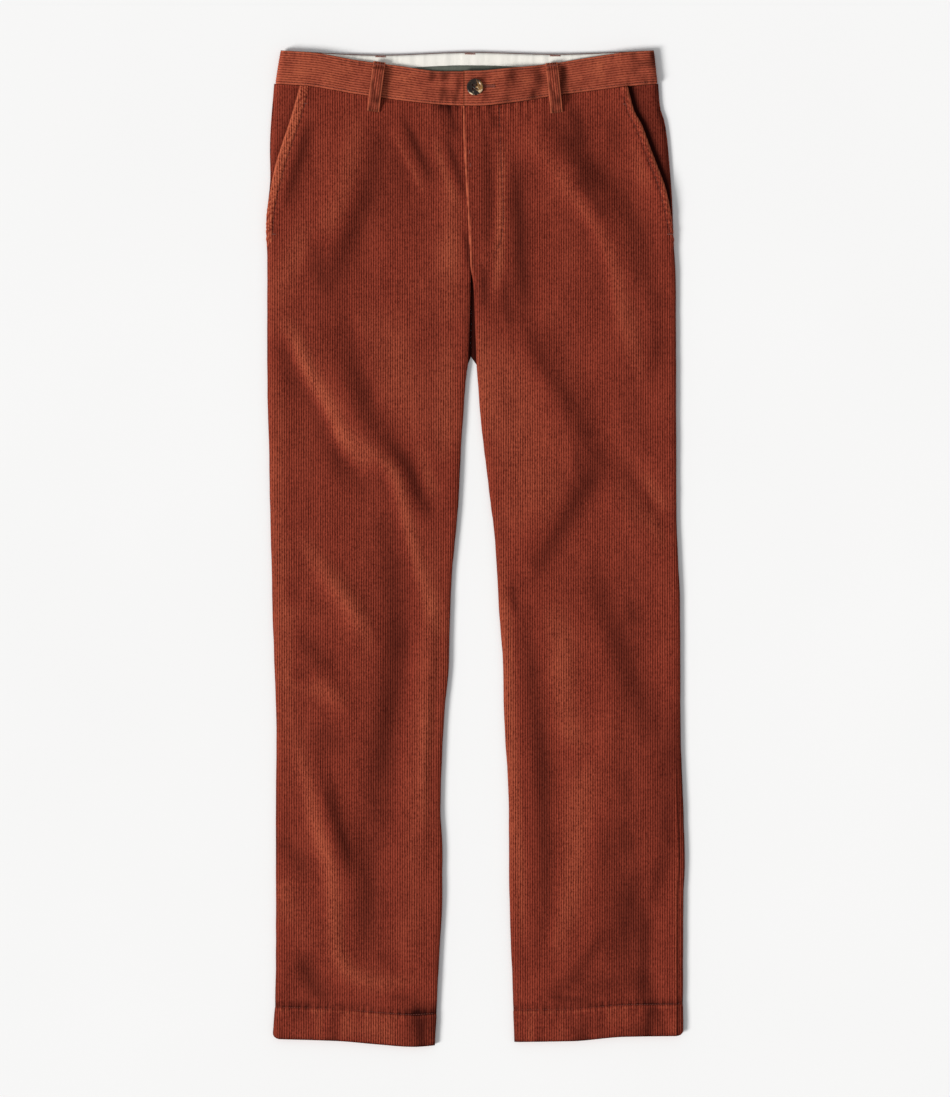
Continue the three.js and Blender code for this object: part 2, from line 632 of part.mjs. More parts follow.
// Half of the front waistband, from the side seam to the fly.
function frontBand(which) {
  const { sign } = side[which];
  const ends = BAND_ENDS[which];
  const base = BAND_SEAM_HEIGHT + SEAM / 2;
  const stations = [];
  for (let i = 0; i < ROLL_STEPS; i++) {
    const angle = ((Math.PI / 2) * i) / ROLL_STEPS;
    const shift = -sign * BAND_ROLL * (1 - Math.cos(angle));
    const x = ends.seam + shift;
    stations.push(
      bandStation({
        xTop: ends.top + shift,
        xSeam: x,
        top: bandTop(x),
        seam: bandSeam(x),
        z: base + (BAND_TOP - base) * Math.sin(angle),
        zInner: base + (BAND_TOP - base - BAND) * Math.sin(angle),
        xInner: -sign * BAND * Math.cos(angle),
        ribs: true,
      }),
    );
  }
  const innerEnd = flyEdge(0) + (which === "left" ? BAND_UNDERLAP : 0);
  const start = ends.seam - sign * BAND_ROLL;
  for (const x of stationsBetween(start, innerEnd)) {
    const slant = (x - innerEnd) / (start - innerEnd);
    const z = bandHeight(which, x);
    stations.push(
      bandStation({
        xTop: x + (ends.top - ends.seam) * slant,
        xSeam: x,
        top: bandTop(x),
        seam: bandSeam(x),
        z,
        zInner: z - BAND,
        xInner: 0,
        ribs: true,
      }),
    );
  }
  return wall(stations);
}

// Half of the back waistband, from the side seam to the centre back seam.
function backBand(which) {
  const { sign } = side[which];
  const ends = BAND_ENDS[which];
  const base = BAND_SEAM_HEIGHT - SEAM / 2;
  const seamX = CENTRE_BACK + (sign * SEAM) / 2;
  const stations = [];
  const push = (x, slant, angle) => {
    const top = backBandTop(x);
    stations.push(
      bandStation({
        xTop: x + (ends.top - ends.seam) * slant,
        xSeam: x,
        top,
        seam: top + BACK_BAND_DEPTH,
        z: base - (base - BACK_LIFT) * Math.sin(angle),
        zInner: base - (base - BACK_LIFT - BACK_BAND) * Math.sin(angle),
        xInner: -sign * BACK_BAND * Math.cos(angle),
        ribs: false,
      }),
    );
  };
  for (let i = 0; i < ROLL_STEPS; i++) {
    const angle = ((Math.PI / 2) * i) / ROLL_STEPS;
    push(ends.seam - sign * BAND_ROLL * (1 - Math.cos(angle)), 1, angle);
  }
  const start = ends.seam - sign * BAND_ROLL;
  for (let i = 0; i <= BACK_BAND_STEPS; i++) {
    const share = i / BACK_BAND_STEPS;
    push(start + (seamX - start) * share, 1 - share, Math.PI / 2);
  }
  return wall(stations);
}

// A flat strip that lies inside the back waistband, such as its lining.
function backStrip({ start, depth, floor, thick }) {
  const stations = [];
  for (let i = 0; i <= STRIP.steps; i++) {
    const x = STRIP.from + ((STRIP.to - STRIP.from) * i) / STRIP.steps;
    const top = backBandTop(x) + start;
    stations.push(
      bandStation({
        xTop: x,
        xSeam: x,
        top,
        seam: top + depth,
        z: floor + thick,
        zInner: floor,
        xInner: 0,
        ribs: false,
      }),
    );
  }
  return wall(stations);
}

// A front belt loop: sewn down at both ends, and standing off the waistband between them for a belt.
// Its lower end rests on the highest of a few places of the front, given in shares of its width.
function frontLoop({ topX, topDrop, endX, endDrop }) {
  const length = Math.hypot(endX - topX, endDrop - topDrop);
  const [ux, ud] = [(endX - topX) / length, (endDrop - topDrop) / length];
  const { sewn, ramp, bridge, width, cloth } = LOOP;
  const stops = [0, sewn, sewn + ramp / 2, sewn + ramp, length / 2];
  const along = [...stops, length - sewn - ramp, length - sewn - ramp / 2, length - sewn, length];
  const which = topX < 0 ? "left" : "right";
  const rows = along.map((s) => {
    const [x, drop] = [topX + ux * s, topDrop + ud * s];
    const onBand = drop < bandSeam(x);
    const standing = ease(s, sewn, sewn + ramp) * ease(s, length - sewn, length - sewn - ramp);
    const point = (across, z) => ({ key: across, at: [x + ud * across, -(drop - ux * across), z] });
    const panel = Math.max(...LOOP.probes.map((share) => builtTop(which, x + share * width, drop)));
    const below = Math.max(onBand || standing > 0 ? bandHeight(which, x) : 0, onBand ? 0 : panel);
    const under = below + WALE_RISE + SEAM + (bridge - SEAM) * standing;
    const row = { outer: [], inner: [] };
    for (let i = 0; i <= 2 * LOOP.wales; i++) {
      const across = width * (i / (2 * LOOP.wales) - 0.5);
      row.outer.push(point(across, under + cloth + (i % 2 === 1 ? WALE_RISE : 0)));
    }
    for (const share of [-0.5, 0.5]) row.inner.push(point(width * share, under));
    return row;
  });
  return wall(rows);
}

// A back belt loop: pressed flat between the floor and the waistband.
function backLoop({ x }) {
  const { width, cloth, tail } = BACK_LOOP;
  const length = BACK_BAND_DEPTH + tail;
  const strap = new THREE.BoxGeometry(width, length, cloth);
  return strap.translate(x, -(backBandTop(x) + length / 2), cloth / 2);
}

// A four-hole button: a turned disc with a raised rim and a dished middle.
function button() {
  const { diameter, thick, rim, dish, hole, spread } = BUTTON;
  const radius = diameter / 2;
  // Each point of the turned profile is its distance in from the rim, and its height
  const profile = [
    { fromRim: radius, z: 0 },
    { fromRim: 2, z: 0 },
    { fromRim: 0, z: 1.1 },
    { fromRim: 0, z: 1.9 },
    { fromRim: 0.7, z: thick - 0.2 },
    { fromRim: rim * 0.6, z: thick },
    { fromRim: rim, z: thick - 0.3 },
    { fromRim: rim + 1, z: thick - dish },
    { fromRim: radius, z: thick - dish },
  ].map((point) => new THREE.Vector2(radius - point.fromRim, point.z));
  const disc = solidOf(new THREE.LatheGeometry(profile, 24).rotateX(Math.PI / 2));
  const holes = [-1, 1].flatMap((i) =>
    [-1, 1].map((k) => {
      const drill = new THREE.CylinderGeometry(hole / 2, hole / 2, 4 * thick, 8).rotateX(Math.PI / 2);
      return solidOf(drill.translate((i * spread) / 2, (k * spread) / 2, 0));
    }),
  );
  const drilled = holes.reduce((made, drill) => made.subtract(drill), disc);
  const seat = bandHeight("right", BUTTON.x) + WALE_RISE + SEAM;
  return geometryOf(drilled).translate(BUTTON.x, -BUTTON.drop, seat);
}

// A solid to cut, made from a geometry.
function solidOf(geometry) {
  geometry.deleteAttribute("normal");
  geometry.deleteAttribute("uv");
  const merged = mergeVertices(geometry, 1e-4);
  const mesh = new wasm.Mesh({
    numProp: 3,
    vertProperties: merged.attributes.position.array,
    triVerts: new Uint32Array(merged.index.array),
  });
  return new wasm.Manifold(mesh);
}

// The geometry of a cut solid.
function geometryOf(solid) {
  const { vertProperties, triVerts } = solid.getMesh();
  const geometry = new THREE.BufferGeometry();
  geometry.setAttribute("position", new THREE.BufferAttribute(vertProperties, 3));
  geometry.setIndex(new THREE.BufferAttribute(triVerts, 1));
  return geometry;
}

const corduroy = new THREE.MeshStandardMaterial({ color: 0x75301f, roughness: 0.95, metalness: 0 });
const ecruLining = new THREE.MeshStandardMaterial({ color: 0xe6e0d2, roughness: 0.9, metalness: 0 });
const greenTape = new THREE.MeshStandardMaterial({ color: 0x59665a, roughness: 0.85, metalness: 0 });
const horn = new THREE.MeshStandardMaterial({ color: 0x4a3524, roughness: 0.35, metalness: 0 });

const trousers = new THREE.Group();
trousers.name = "corduroy_trousers";

// Adds one named piece.
function add(name, geometry, material) {
  const mesh = new THREE.Mesh(geometry, material);
  mesh.name = name;
  trousers.add(mesh);
}

for (const which of ["left", "right"]) {
  add(`front_${which}`, front(which), corduroy);
  add(`back_${which}`, back(which), corduroy);
  add(`pocket_facing_${which}`, pocketFacing(which), corduroy);
  add(`waistband_front_${which}`, frontBand(which), corduroy);
  add(`waistband_back_${which}`, backBand(which), corduroy);
}
const liningFloor = BACK_LIFT + BACK_BAND + SEAM;
const tapeFloor = liningFloor + LINING.thick + SEAM;
add("waistband_lining", backStrip({ ...LINING, floor: liningFloor }), ecruLining);
add("waistband_tape", backStrip({ ...TAPE, floor: tapeFloor }), greenTape);
for (const loop of FRONT_LOOPS) add(loop.name, frontLoop(loop), corduroy);
for (const loop of BACK_LOOPS) add(loop.name, backLoop(loop), corduroy);
add("button", button(), horn);

// The origin is below the middle of the garment, on the floor.
const middle = new THREE.Box3().setFromObject(trousers).getCenter(new THREE.Vector3());
trousers.position.set(-middle.x, -middle.y, 0);

export default trousers;
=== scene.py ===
"""Corduroy trousers laid flat on their back: finished cloth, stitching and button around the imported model.

All sizes are in millimetres until a mesh is made. x runs to the right of someone who looks down on the
front, drop is the distance below the highest point of the waist, and z is the height above the floor.
"""

import logging
import math
from collections.abc import Callable, Sequence
from dataclasses import dataclass, field
from enum import Enum

import bpy
import numpy as np
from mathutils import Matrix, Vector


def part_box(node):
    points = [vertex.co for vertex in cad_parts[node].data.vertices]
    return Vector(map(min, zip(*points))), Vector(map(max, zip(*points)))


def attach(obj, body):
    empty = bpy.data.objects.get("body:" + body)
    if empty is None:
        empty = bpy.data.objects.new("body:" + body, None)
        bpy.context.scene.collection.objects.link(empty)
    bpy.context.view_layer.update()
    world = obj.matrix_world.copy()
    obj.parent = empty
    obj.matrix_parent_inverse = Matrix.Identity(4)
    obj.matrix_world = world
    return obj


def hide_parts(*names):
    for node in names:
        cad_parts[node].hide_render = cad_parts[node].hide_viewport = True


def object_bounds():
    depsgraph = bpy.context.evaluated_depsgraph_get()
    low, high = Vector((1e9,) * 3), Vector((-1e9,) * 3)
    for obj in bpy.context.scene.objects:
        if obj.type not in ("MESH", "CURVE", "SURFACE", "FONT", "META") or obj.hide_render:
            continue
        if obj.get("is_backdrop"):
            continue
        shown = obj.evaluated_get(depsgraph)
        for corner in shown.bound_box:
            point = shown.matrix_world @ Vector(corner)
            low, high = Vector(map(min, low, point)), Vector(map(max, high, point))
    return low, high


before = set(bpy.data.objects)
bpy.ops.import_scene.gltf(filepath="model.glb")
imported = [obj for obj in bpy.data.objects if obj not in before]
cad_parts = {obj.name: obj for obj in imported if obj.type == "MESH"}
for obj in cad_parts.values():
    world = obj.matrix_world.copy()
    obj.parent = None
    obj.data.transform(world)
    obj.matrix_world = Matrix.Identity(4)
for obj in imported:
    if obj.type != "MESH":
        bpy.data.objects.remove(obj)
CAD_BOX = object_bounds()

LOG = logging.getLogger("trousers")
MM = 0.001
BODY = "root"
Array = np.ndarray
Table = Sequence[tuple[float, ...]]
Colour = tuple[float, float, float, float]
WALE_COLUMNS = 4


class Side(Enum):
    """The viewer's side of the garment, with the sign of x there."""

    LEFT = -1
    RIGHT = 1


class Curve:
    """A smooth curve through a table's rows, which never swings past them."""

    def __init__(self, rows: Table) -> None:
        """Works out the curve's slopes.

        Args:
            rows: pairs of a place and the value there, in order of place.
        """
        self.at, self.value = np.array(rows, float).T
        slope = np.diff(self.value) / np.diff(self.at)
        before, after = slope[:-1], slope[1:]
        same = before * after > 0
        middle = np.where(same, 2 * before * after / np.where(same, before + after, 1), 0)
        self.tangent = np.concatenate(([slope[0]], middle, [slope[-1]]))

    def __call__(self, where: Array | float) -> Array:
        """The curve's value at each place, level past both ends.

        Args:
            where: the places.

        Returns:
            The value at each.
        """
        here = np.clip(where, self.at[0], self.at[-1])
        i = np.clip(np.searchsorted(self.at, here) - 1, 0, len(self.at) - 2)
        gap = self.at[i + 1] - self.at[i]
        t = (here - self.at[i]) / gap
        s = 1 - t
        ends = self.value[i] * s * s * (1 + 2 * t) + self.value[i + 1] * t * t * (1 + 2 * s)
        return ends + gap * t * s * (self.tangent[i] * s - self.tangent[i + 1] * t)


def ease(value: Array | float, start: Array | float, end: Array | float) -> Array:
    """0 before start, 1 after end and smooth in between; start may be the larger one."""
    share = np.clip((value - start) / (end - start), 0, 1)
    return share * share * (3 - 2 * share)


def bell(value: Array, width: float) -> Array:
    """1 where a value is 0, and fading on both sides over the width."""
    return np.exp(-((value / width) ** 2))


class SoftNoise:
    """Smooth noise between -1 and 1 over a plane, the same on each run."""

    SIZE = 256

    def __init__(self, seed: int) -> None:
        """Draws the noise's lattice from a seed."""
        self.lattice = np.random.default_rng(seed).uniform(-1, 1, (self.SIZE, self.SIZE))

    def __call__(self, a: Array, b: Array) -> Array:
        """The noise at places given in cells.

        Args:
            a: the places in cells, one way.
            b: the places in cells, the other way.

        Returns:
            The noise at each, between -1 and 1.
        """
        i, k = np.floor(a).astype(int), np.floor(b).astype(int)
        u, v = ease(a - i, 0, 1), ease(b - k, 0, 1)
        corner = lambda di, dk: self.lattice[(i + di) % self.SIZE, (k + dk) % self.SIZE]
        low = corner(0, 0) * (1 - u) + corner(1, 0) * u
        high = corner(0, 1) * (1 - u) + corner(1, 1) * u
        return low * (1 - v) + high * v


NOISE = SoftNoise(11)


class Route:
    """A smooth line on the garment, through a few places."""

    def __init__(self, places: Table, step: float = 4.0) -> None:
        """Samples the line.

        Args:
            places: pairs of x and drop.
            step: the distance between samples.
        """
        given = np.array(places, float)
        reach = np.concatenate(([0], np.cumsum(np.hypot(*np.diff(given, axis=0).T))))
        count = max(2, int(reach[-1] / step) + 1)
        at = np.linspace(0, reach[-1], count)
        self.line = np.stack([Curve(np.stack([reach, given[:, k]], 1))(at) for k in (0, 1)], 1)
        self.length = float(reach[-1])

    def near(self, x: Array, drop: Array, within: float) -> tuple[Array, Array]:
        """How far places lie from the line, and how far along it.

        Args:
            x: the places' x.
            drop: the places' drop.
            within: past this distance the answer isn't needed.

        Returns:
            The distance, which is large where it isn't needed, and the share of the way along.
        """
        away = np.full(x.shape, 1e6)
        along = np.zeros(x.shape)
        low, high = self.line.min(0) - within, self.line.max(0) + within
        mask = (x > low[0]) & (x < high[0]) & (drop > low[1]) & (drop < high[1])
        px, pd = x[mask], drop[mask]
        best, share = np.full(px.shape, 1e6), np.zeros(px.shape)
        for i, (start, end) in enumerate(zip(self.line[:-1], self.line[1:])):
            ux, ud = end - start
            t = np.clip(((px - start[0]) * ux + (pd - start[1]) * ud) / (ux * ux + ud * ud), 0, 1)
            far = np.hypot(px - start[0] - t * ux, pd - start[1] - t * ud)
            closer = far < best
            best = np.where(closer, far, best)
            share = np.where(closer, (i + t) / (len(self.line) - 1), share)
        away[mask], along[mask] = best, share
        return away, along

    def spaced(self, gap: float) -> Array:
        """Places along the line, evenly spaced.

        Args:
            gap: the distance that they are about apart.

        Returns:
            Rows of x and drop.
        """
        reach = np.concatenate(([0], np.cumsum(np.hypot(*np.diff(self.line, axis=0).T))))
        at = np.linspace(0, reach[-1], max(2, round(reach[-1] / gap) + 1))
        return np.stack([np.interp(at, reach, self.line[:, k]) for k in (0, 1)], 1)


@dataclass(frozen=True)
class Crease:
    """A soft ridge or trough along a bow, with painted highlight and shade along it.

    rise is the ridge's height, and below 0 for a trough. tone is the painted highlight there, and below 0
    the painted shade, which stand in for the light on the fold.
    """

    width: float
    rise: float
    tone: float
    places: tuple[tuple[float, float], ...]

    def over(self, x: Array, drop: Array) -> Array:
        """How much of the crease is at each place, from 0 to 1."""
        away, along = Route(self.places, step=8).near(x, drop, 2.6 * self.width)
        return (1 - np.abs(2 * along - 1) ** 3) * bell(away, self.width)


def crease(width: float, rise: float, tone: float, *places: tuple[float, float]) -> Crease:
    """A crease from its width, rise, tone, and pairs of x and drop."""
    return Crease(width, rise, tone, places)


def fold(*row: float) -> Crease:
    """One of the solids' own large folds: x and drop at its start, middle and end, then width and rise."""
    return Crease(row[6], row[7], 0.0, (row[0:2], row[2:4], row[4:6]))


FOLDS = (
    fold(-202, 309, -142, 417, -59, 541, 22, 4.6),
    fold(-220, 357, -202, 415, -167, 484, 20, -2),
    fold(-142, 72, -154, 173, -173, 277, 24, 3),
    fold(-104, 116, -126, 213, -130, 323, 24, -2.4),
    fold(-104, 403, -70, 466, -41, 524, 16, -1.6),
    fold(-188, 587, -150, 633, -112, 679, 14, 2.8),
    fold(-206, 679, -167, 734, -137, 766, 12, 2.2),
    fold(-84, 610, -89, 771, -105, 944, 18, -2.4),
    fold(-50, 633, -53, 806, -59, 955, 14, 2),
    fold(-196, 800, -170, 875, -150, 978, 15, 4),
    fold(-150, 852, -124, 921, -119, 1013, 14, -2),
    fold(60, 87, 132, 162, 189, 288, 24, 4.4),
    fold(143, 93, 186, 173, 205, 242, 18, -1.8),
    fold(40, 323, 93, 403, 104, 484, 24, 3.4),
    fold(97, 323, 140, 403, 150, 449, 18, -1.6),
    fold(109, 495, 74, 541, 42, 604, 18, 3),
    fold(143, 438, 189, 493, 222, 541, 13, -2),
    fold(132, 489, 172, 530, 206, 587, 14, 2.6),
    fold(83, 679, 91, 794, 97, 932, 13, -1.8),
    fold(157, 656, 152, 794, 137, 978, 20, 3.2),
    fold(206, 656, 212, 817, 189, 1036, 16, -1.8),
)
# Each front's creases besides the solids' folds: width, rise, tone and places; tone is painted highlight and
# shade that stands in for the light on each fold.
LEFT_CREASES = (
    crease(9, 2.0, 1.1, (-221, 304), (-206, 338), (-191, 374), (-174, 402), (-160, 430), (-138, 458)),
    crease(9, 0.6, 0.7, (-170, 432), (-146, 459), (-120, 480)),
    crease(8, 1.4, 0.8, (-150, 440), (-116, 466), (-96, 484), (-86, 510), (-81, 538), (-72, 572), (-58, 618),
           (-46, 655)),
    crease(8, 0.2, 0.5, (-58, 622), (-50, 650), (-42, 678)),
    crease(17, 1.0, 0.35, (-60, 540), (-52, 645), (-56, 737), (-70, 864), (-75, 967), (-79, 1062)),
    crease(7, 0.3, 0.45, (-58, 740), (-60, 830), (-62, 900)),
    crease(16, 0.8, 0.5, (-140, 60), (-141, 120), (-158, 180), (-196, 220), (-225, 277), (-233, 340)),
    crease(30, 0.6, 0.4, (-118, 290), (-87, 369), (-62, 455)),
    crease(12, 0.3, 0.4, (-32, 200), (-28, 260), (-32, 320)),
    crease(12, 0.2, 0.5, (-30, 318), (-34, 395), (-38, 484)),
    crease(9, 0.2, 1.0, (-203, 46), (-214, 90), (-228, 140), (-237, 184)),
    crease(4, 0.3, 0.55, (-98, 90), (-80, 125), (-58, 168)),
    crease(5, 0.3, 0.55, (-49, 98), (-37, 140), (-18, 184)),
    crease(8, 0.4, 0.5, (-66, 448), (-58, 485), (-44, 518)),
    crease(12, 0.8, 0.45, (-33, 146), (-28, 208), (-38, 272)),
    crease(11, 1.0, 0.6, (-208, 552), (-170, 605), (-138, 650), (-116, 700)),
    crease(10, 0.8, 0.42, (-228, 724), (-179, 737), (-146, 753)),
    crease(9, 1.6, 0.75, (-211, 786), (-196, 835), (-187, 880), (-178, 912), (-168, 940), (-164, 985),
           (-160, 1036), (-144, 1062), (-102, 1075), (-58, 1070)),
    crease(5, -0.3, -0.4, (-106, 1090), (-56, 1087)),
    crease(7, -0.2, -0.35, (-114, 1038), (-84, 1057)),
    crease(10, -0.2, -0.4, (-216, 604), (-208, 644)),
    crease(12, -0.2, -0.4, (-216, 716), (-188, 728)),
    crease(8, -0.3, -0.6, (-52, 62), (-16, 67)),
    crease(11, 0.3, 0.55, (-229, 350), (-230, 507), (-223, 634), (-219, 740), (-218, 860)),
    crease(10, 0.2, 0.4, (-222, 950), (-216, 1010)),
    crease(8, 0.2, 0.4, (-231, 44), (-234, 110)),
    crease(14, -1.0, -0.5, (-110, 66), (-120, 139), (-138, 200), (-160, 262), (-157, 310)),
    crease(13, -0.8, -0.5, (-159, 290), (-138, 369), (-117, 425), (-100, 452)),
    crease(8, -0.8, -0.75, (-108, 440), (-78, 480), (-64, 515), (-50, 548)),
    crease(8, -0.6, -0.75, (-190, 76), (-204, 130), (-220, 184)),
    crease(12, -0.4, -0.55, (-186, 180), (-185, 235), (-172, 285)),
    crease(6, -0.1, -0.35, (-112, 488), (-102, 522)),
    crease(6, -0.8, -0.75, (-87, 70), (-68, 112), (-49, 154)),
    crease(5, -0.5, -0.75, (-35, 96), (-22, 138), (-11, 178)),
    crease(9, -0.4, -0.6, (-42, 58), (-30, 78), (-22, 104)),
    crease(24, -0.4, -0.25, (-98, 90), (-81, 162), (-94, 226)),
    crease(5, -0.3, -0.9, (-14, 206), (-9, 232), (-7, 260)),
    crease(10, -0.4, -0.5, (-226, 326), (-214, 370), (-205, 412)),
    crease(12, -0.8, -0.5, (-205, 360), (-182, 420), (-148, 486), (-102, 520)),
    crease(17, -1.2, -0.65, (-108, 520), (-95, 599), (-90, 691), (-103, 783), (-112, 850), (-118, 930)),
    crease(14, -0.6, -0.3, (-204, 678), (-158, 710)),
    crease(15, -0.6, -0.35, (-192, 782), (-142, 802)),
    crease(9, -1.4, -0.7, (-174, 836), (-153, 905), (-140, 948)),
    crease(15, -0.6, -0.55, (-117, 900), (-126, 955), (-126, 1048)),
    crease(12, -0.5, -0.45, (-232, 898), (-212, 925), (-186, 950)),
    crease(13, -0.6, -0.7, (-202, 1036), (-190, 1072), (-164, 1096)),
    crease(12, -0.3, -0.4, (-218, 1098), (-186, 1106)),
    crease(14, 0.3, 0.35, (-166, 1120), (-90, 1128)),
    crease(45, 0.0, -0.12, (-170, 150), (-60, 165)),
    crease(16, -0.6, -1.1, (-66, 1092), (-66, 1124), (-66, 1156)),
)
RIGHT_CREASES = (
    crease(12, 1.6, 0.52, (52, 92), (91, 137), (128, 192), (155, 250), (176, 325), (194, 390)),
    crease(11, 0.2, 0.45, (142, 152), (168, 196), (196, 246)),
    crease(34, 0.8, 0.5, (30, 330), (46, 427), (60, 496), (44, 560)),
    crease(9, 0.2, 0.5, (4, 306), (8, 380), (20, 450)),
    crease(10, 1.4, 0.5, (130, 438), (167, 488), (198, 538), (221, 580)),
    crease(6, 0.6, 0.9, (30, 100), (28, 190), (26, 250), (16, 292)),
    crease(15, 1.0, 0.6, (84, 630), (98, 690), (100, 740), (112, 798)),
    crease(15, 1.2, 0.55, (132, 806), (118, 870), (113, 940), (92, 1050)),
    crease(8, 0.3, 0.9, (22, 560), (33, 640), (37, 730), (43, 864), (50, 950), (54, 1040)),
    crease(10, 0.6, 0.35, (176, 98), (203, 168)),
    crease(11, -1.2, -0.8, (45, 116), (50, 200), (54, 260), (62, 316)),
    crease(10, -0.4, -0.6, (104, 58), (118, 84), (124, 116)),
    crease(10, -0.3, -0.6, (112, 138), (134, 172), (152, 200)),
    crease(6, -0.3, -0.6, (38, 608), (46, 652)),
    crease(9, -0.2, -0.4, (150, 76), (164, 122)),
    crease(7, -0.2, -0.6, (194, 108), (214, 164)),
    crease(10, 0.3, 0.4, (98, 776), (128, 806)),
    crease(5, -0.2, -0.6, (84, 1091), (134, 1093)),
    crease(10, -0.2, -0.45, (168, 878), (180, 936)),
    crease(15, -0.3, -0.45, (112, 1078), (204, 1070)),
    crease(12, -0.3, -0.45, (210, 1094), (210, 1122), (209, 1150)),
    crease(9, -0.2, -0.5, (146, 1132), (206, 1128)),
    crease(12, -1.2, -0.5, (54, 296), (80, 362), (110, 405), (128, 452)),
    crease(14, -0.6, -0.6, (118, 425), (138, 462), (128, 524)),
    crease(11, -1.2, -0.62, (137, 478), (97, 553), (57, 624)),
    crease(15, -1.4, -0.62, (78, 60), (112, 112), (150, 160), (182, 212), (206, 284)),
    crease(12, -0.2, -0.5, (98, 176), (134, 225), (158, 300)),
    crease(11, -0.6, -0.4, (207, 276), (209, 346), (200, 392)),
    crease(9, -1.0, -0.55, (134, 456), (170, 490), (202, 540)),
    crease(11, -1.2, -0.65, (55, 624), (66, 726), (76, 829), (80, 920), (82, 985), (66, 1070)),
    crease(16, -1.0, -0.6, (131, 582), (158, 668), (183, 737), (206, 800)),
    crease(16, -0.6, -0.34, (150, 880), (152, 940), (151, 1010)),
    crease(17, -1.2, -0.65, (182, 930), (174, 1000), (162, 1062)),
    crease(9, -0.8, -0.55, (154, 1004), (118, 1062), (72, 1097)),
    crease(9, -0.4, -0.6, (196, 970), (194, 1050), (198, 1130)),
    crease(13, -0.3, -0.65, (222, 740), (221, 850), (216, 970)),
    crease(8, -0.6, -0.5, (10, 74), (15, 150), (13, 236)),
    crease(7, -0.4, -0.6, (8, 244), (12, 300)),
    crease(45, 0.0, -0.14, (60, 105), (190, 150)),
    crease(8, -0.2, -0.5, (176, 630), (184, 664)),
    crease(9, -0.2, -0.45, (168, 824), (174, 878)),
    crease(9, -0.2, -0.45, (210, 928), (208, 988)),
    crease(6, 0.1, 0.4, (54, 594), (68, 606)),
    crease(6, 0.3, 0.5, (190, 486), (222, 532)),
    crease(7, -0.2, -0.5, (34, 260), (38, 322)),
    crease(10, -0.2, -0.4, (200, 268), (214, 302)),
    crease(6, -0.2, -0.5, (116, 452), (118, 494)),
    crease(7, -0.3, -0.5, (13, 64), (26, 94)),
    crease(30, 0.0, -0.16, (70, 1124), (214, 1120)),
)
# Painted highlight and shade in slanted bands across the front waistband: x of each band's middle, its
# width, and how much lighter it is, below 0 darker.
BAND_PAINTED_SHADING = (
    (-196, 14, 0.35), (-162, 20, 0.2), (-205, 8, 0.4), (-183, 6, -0.3), (-141, 8, -0.5), (-90, 14, 0.35),
    (-54, 5, -0.7), (-36, 8, -0.9), (-21, 4, -0.9), (24, 5, 0.3), (41, 6, -0.8), (56, 5, 0.25),
    (70, 5, -0.8), (83, 5, 0.35), (98, 4, -0.7), (141, 14, 0.45), (181, 8, -0.4), (203, 8, -0.6),
)


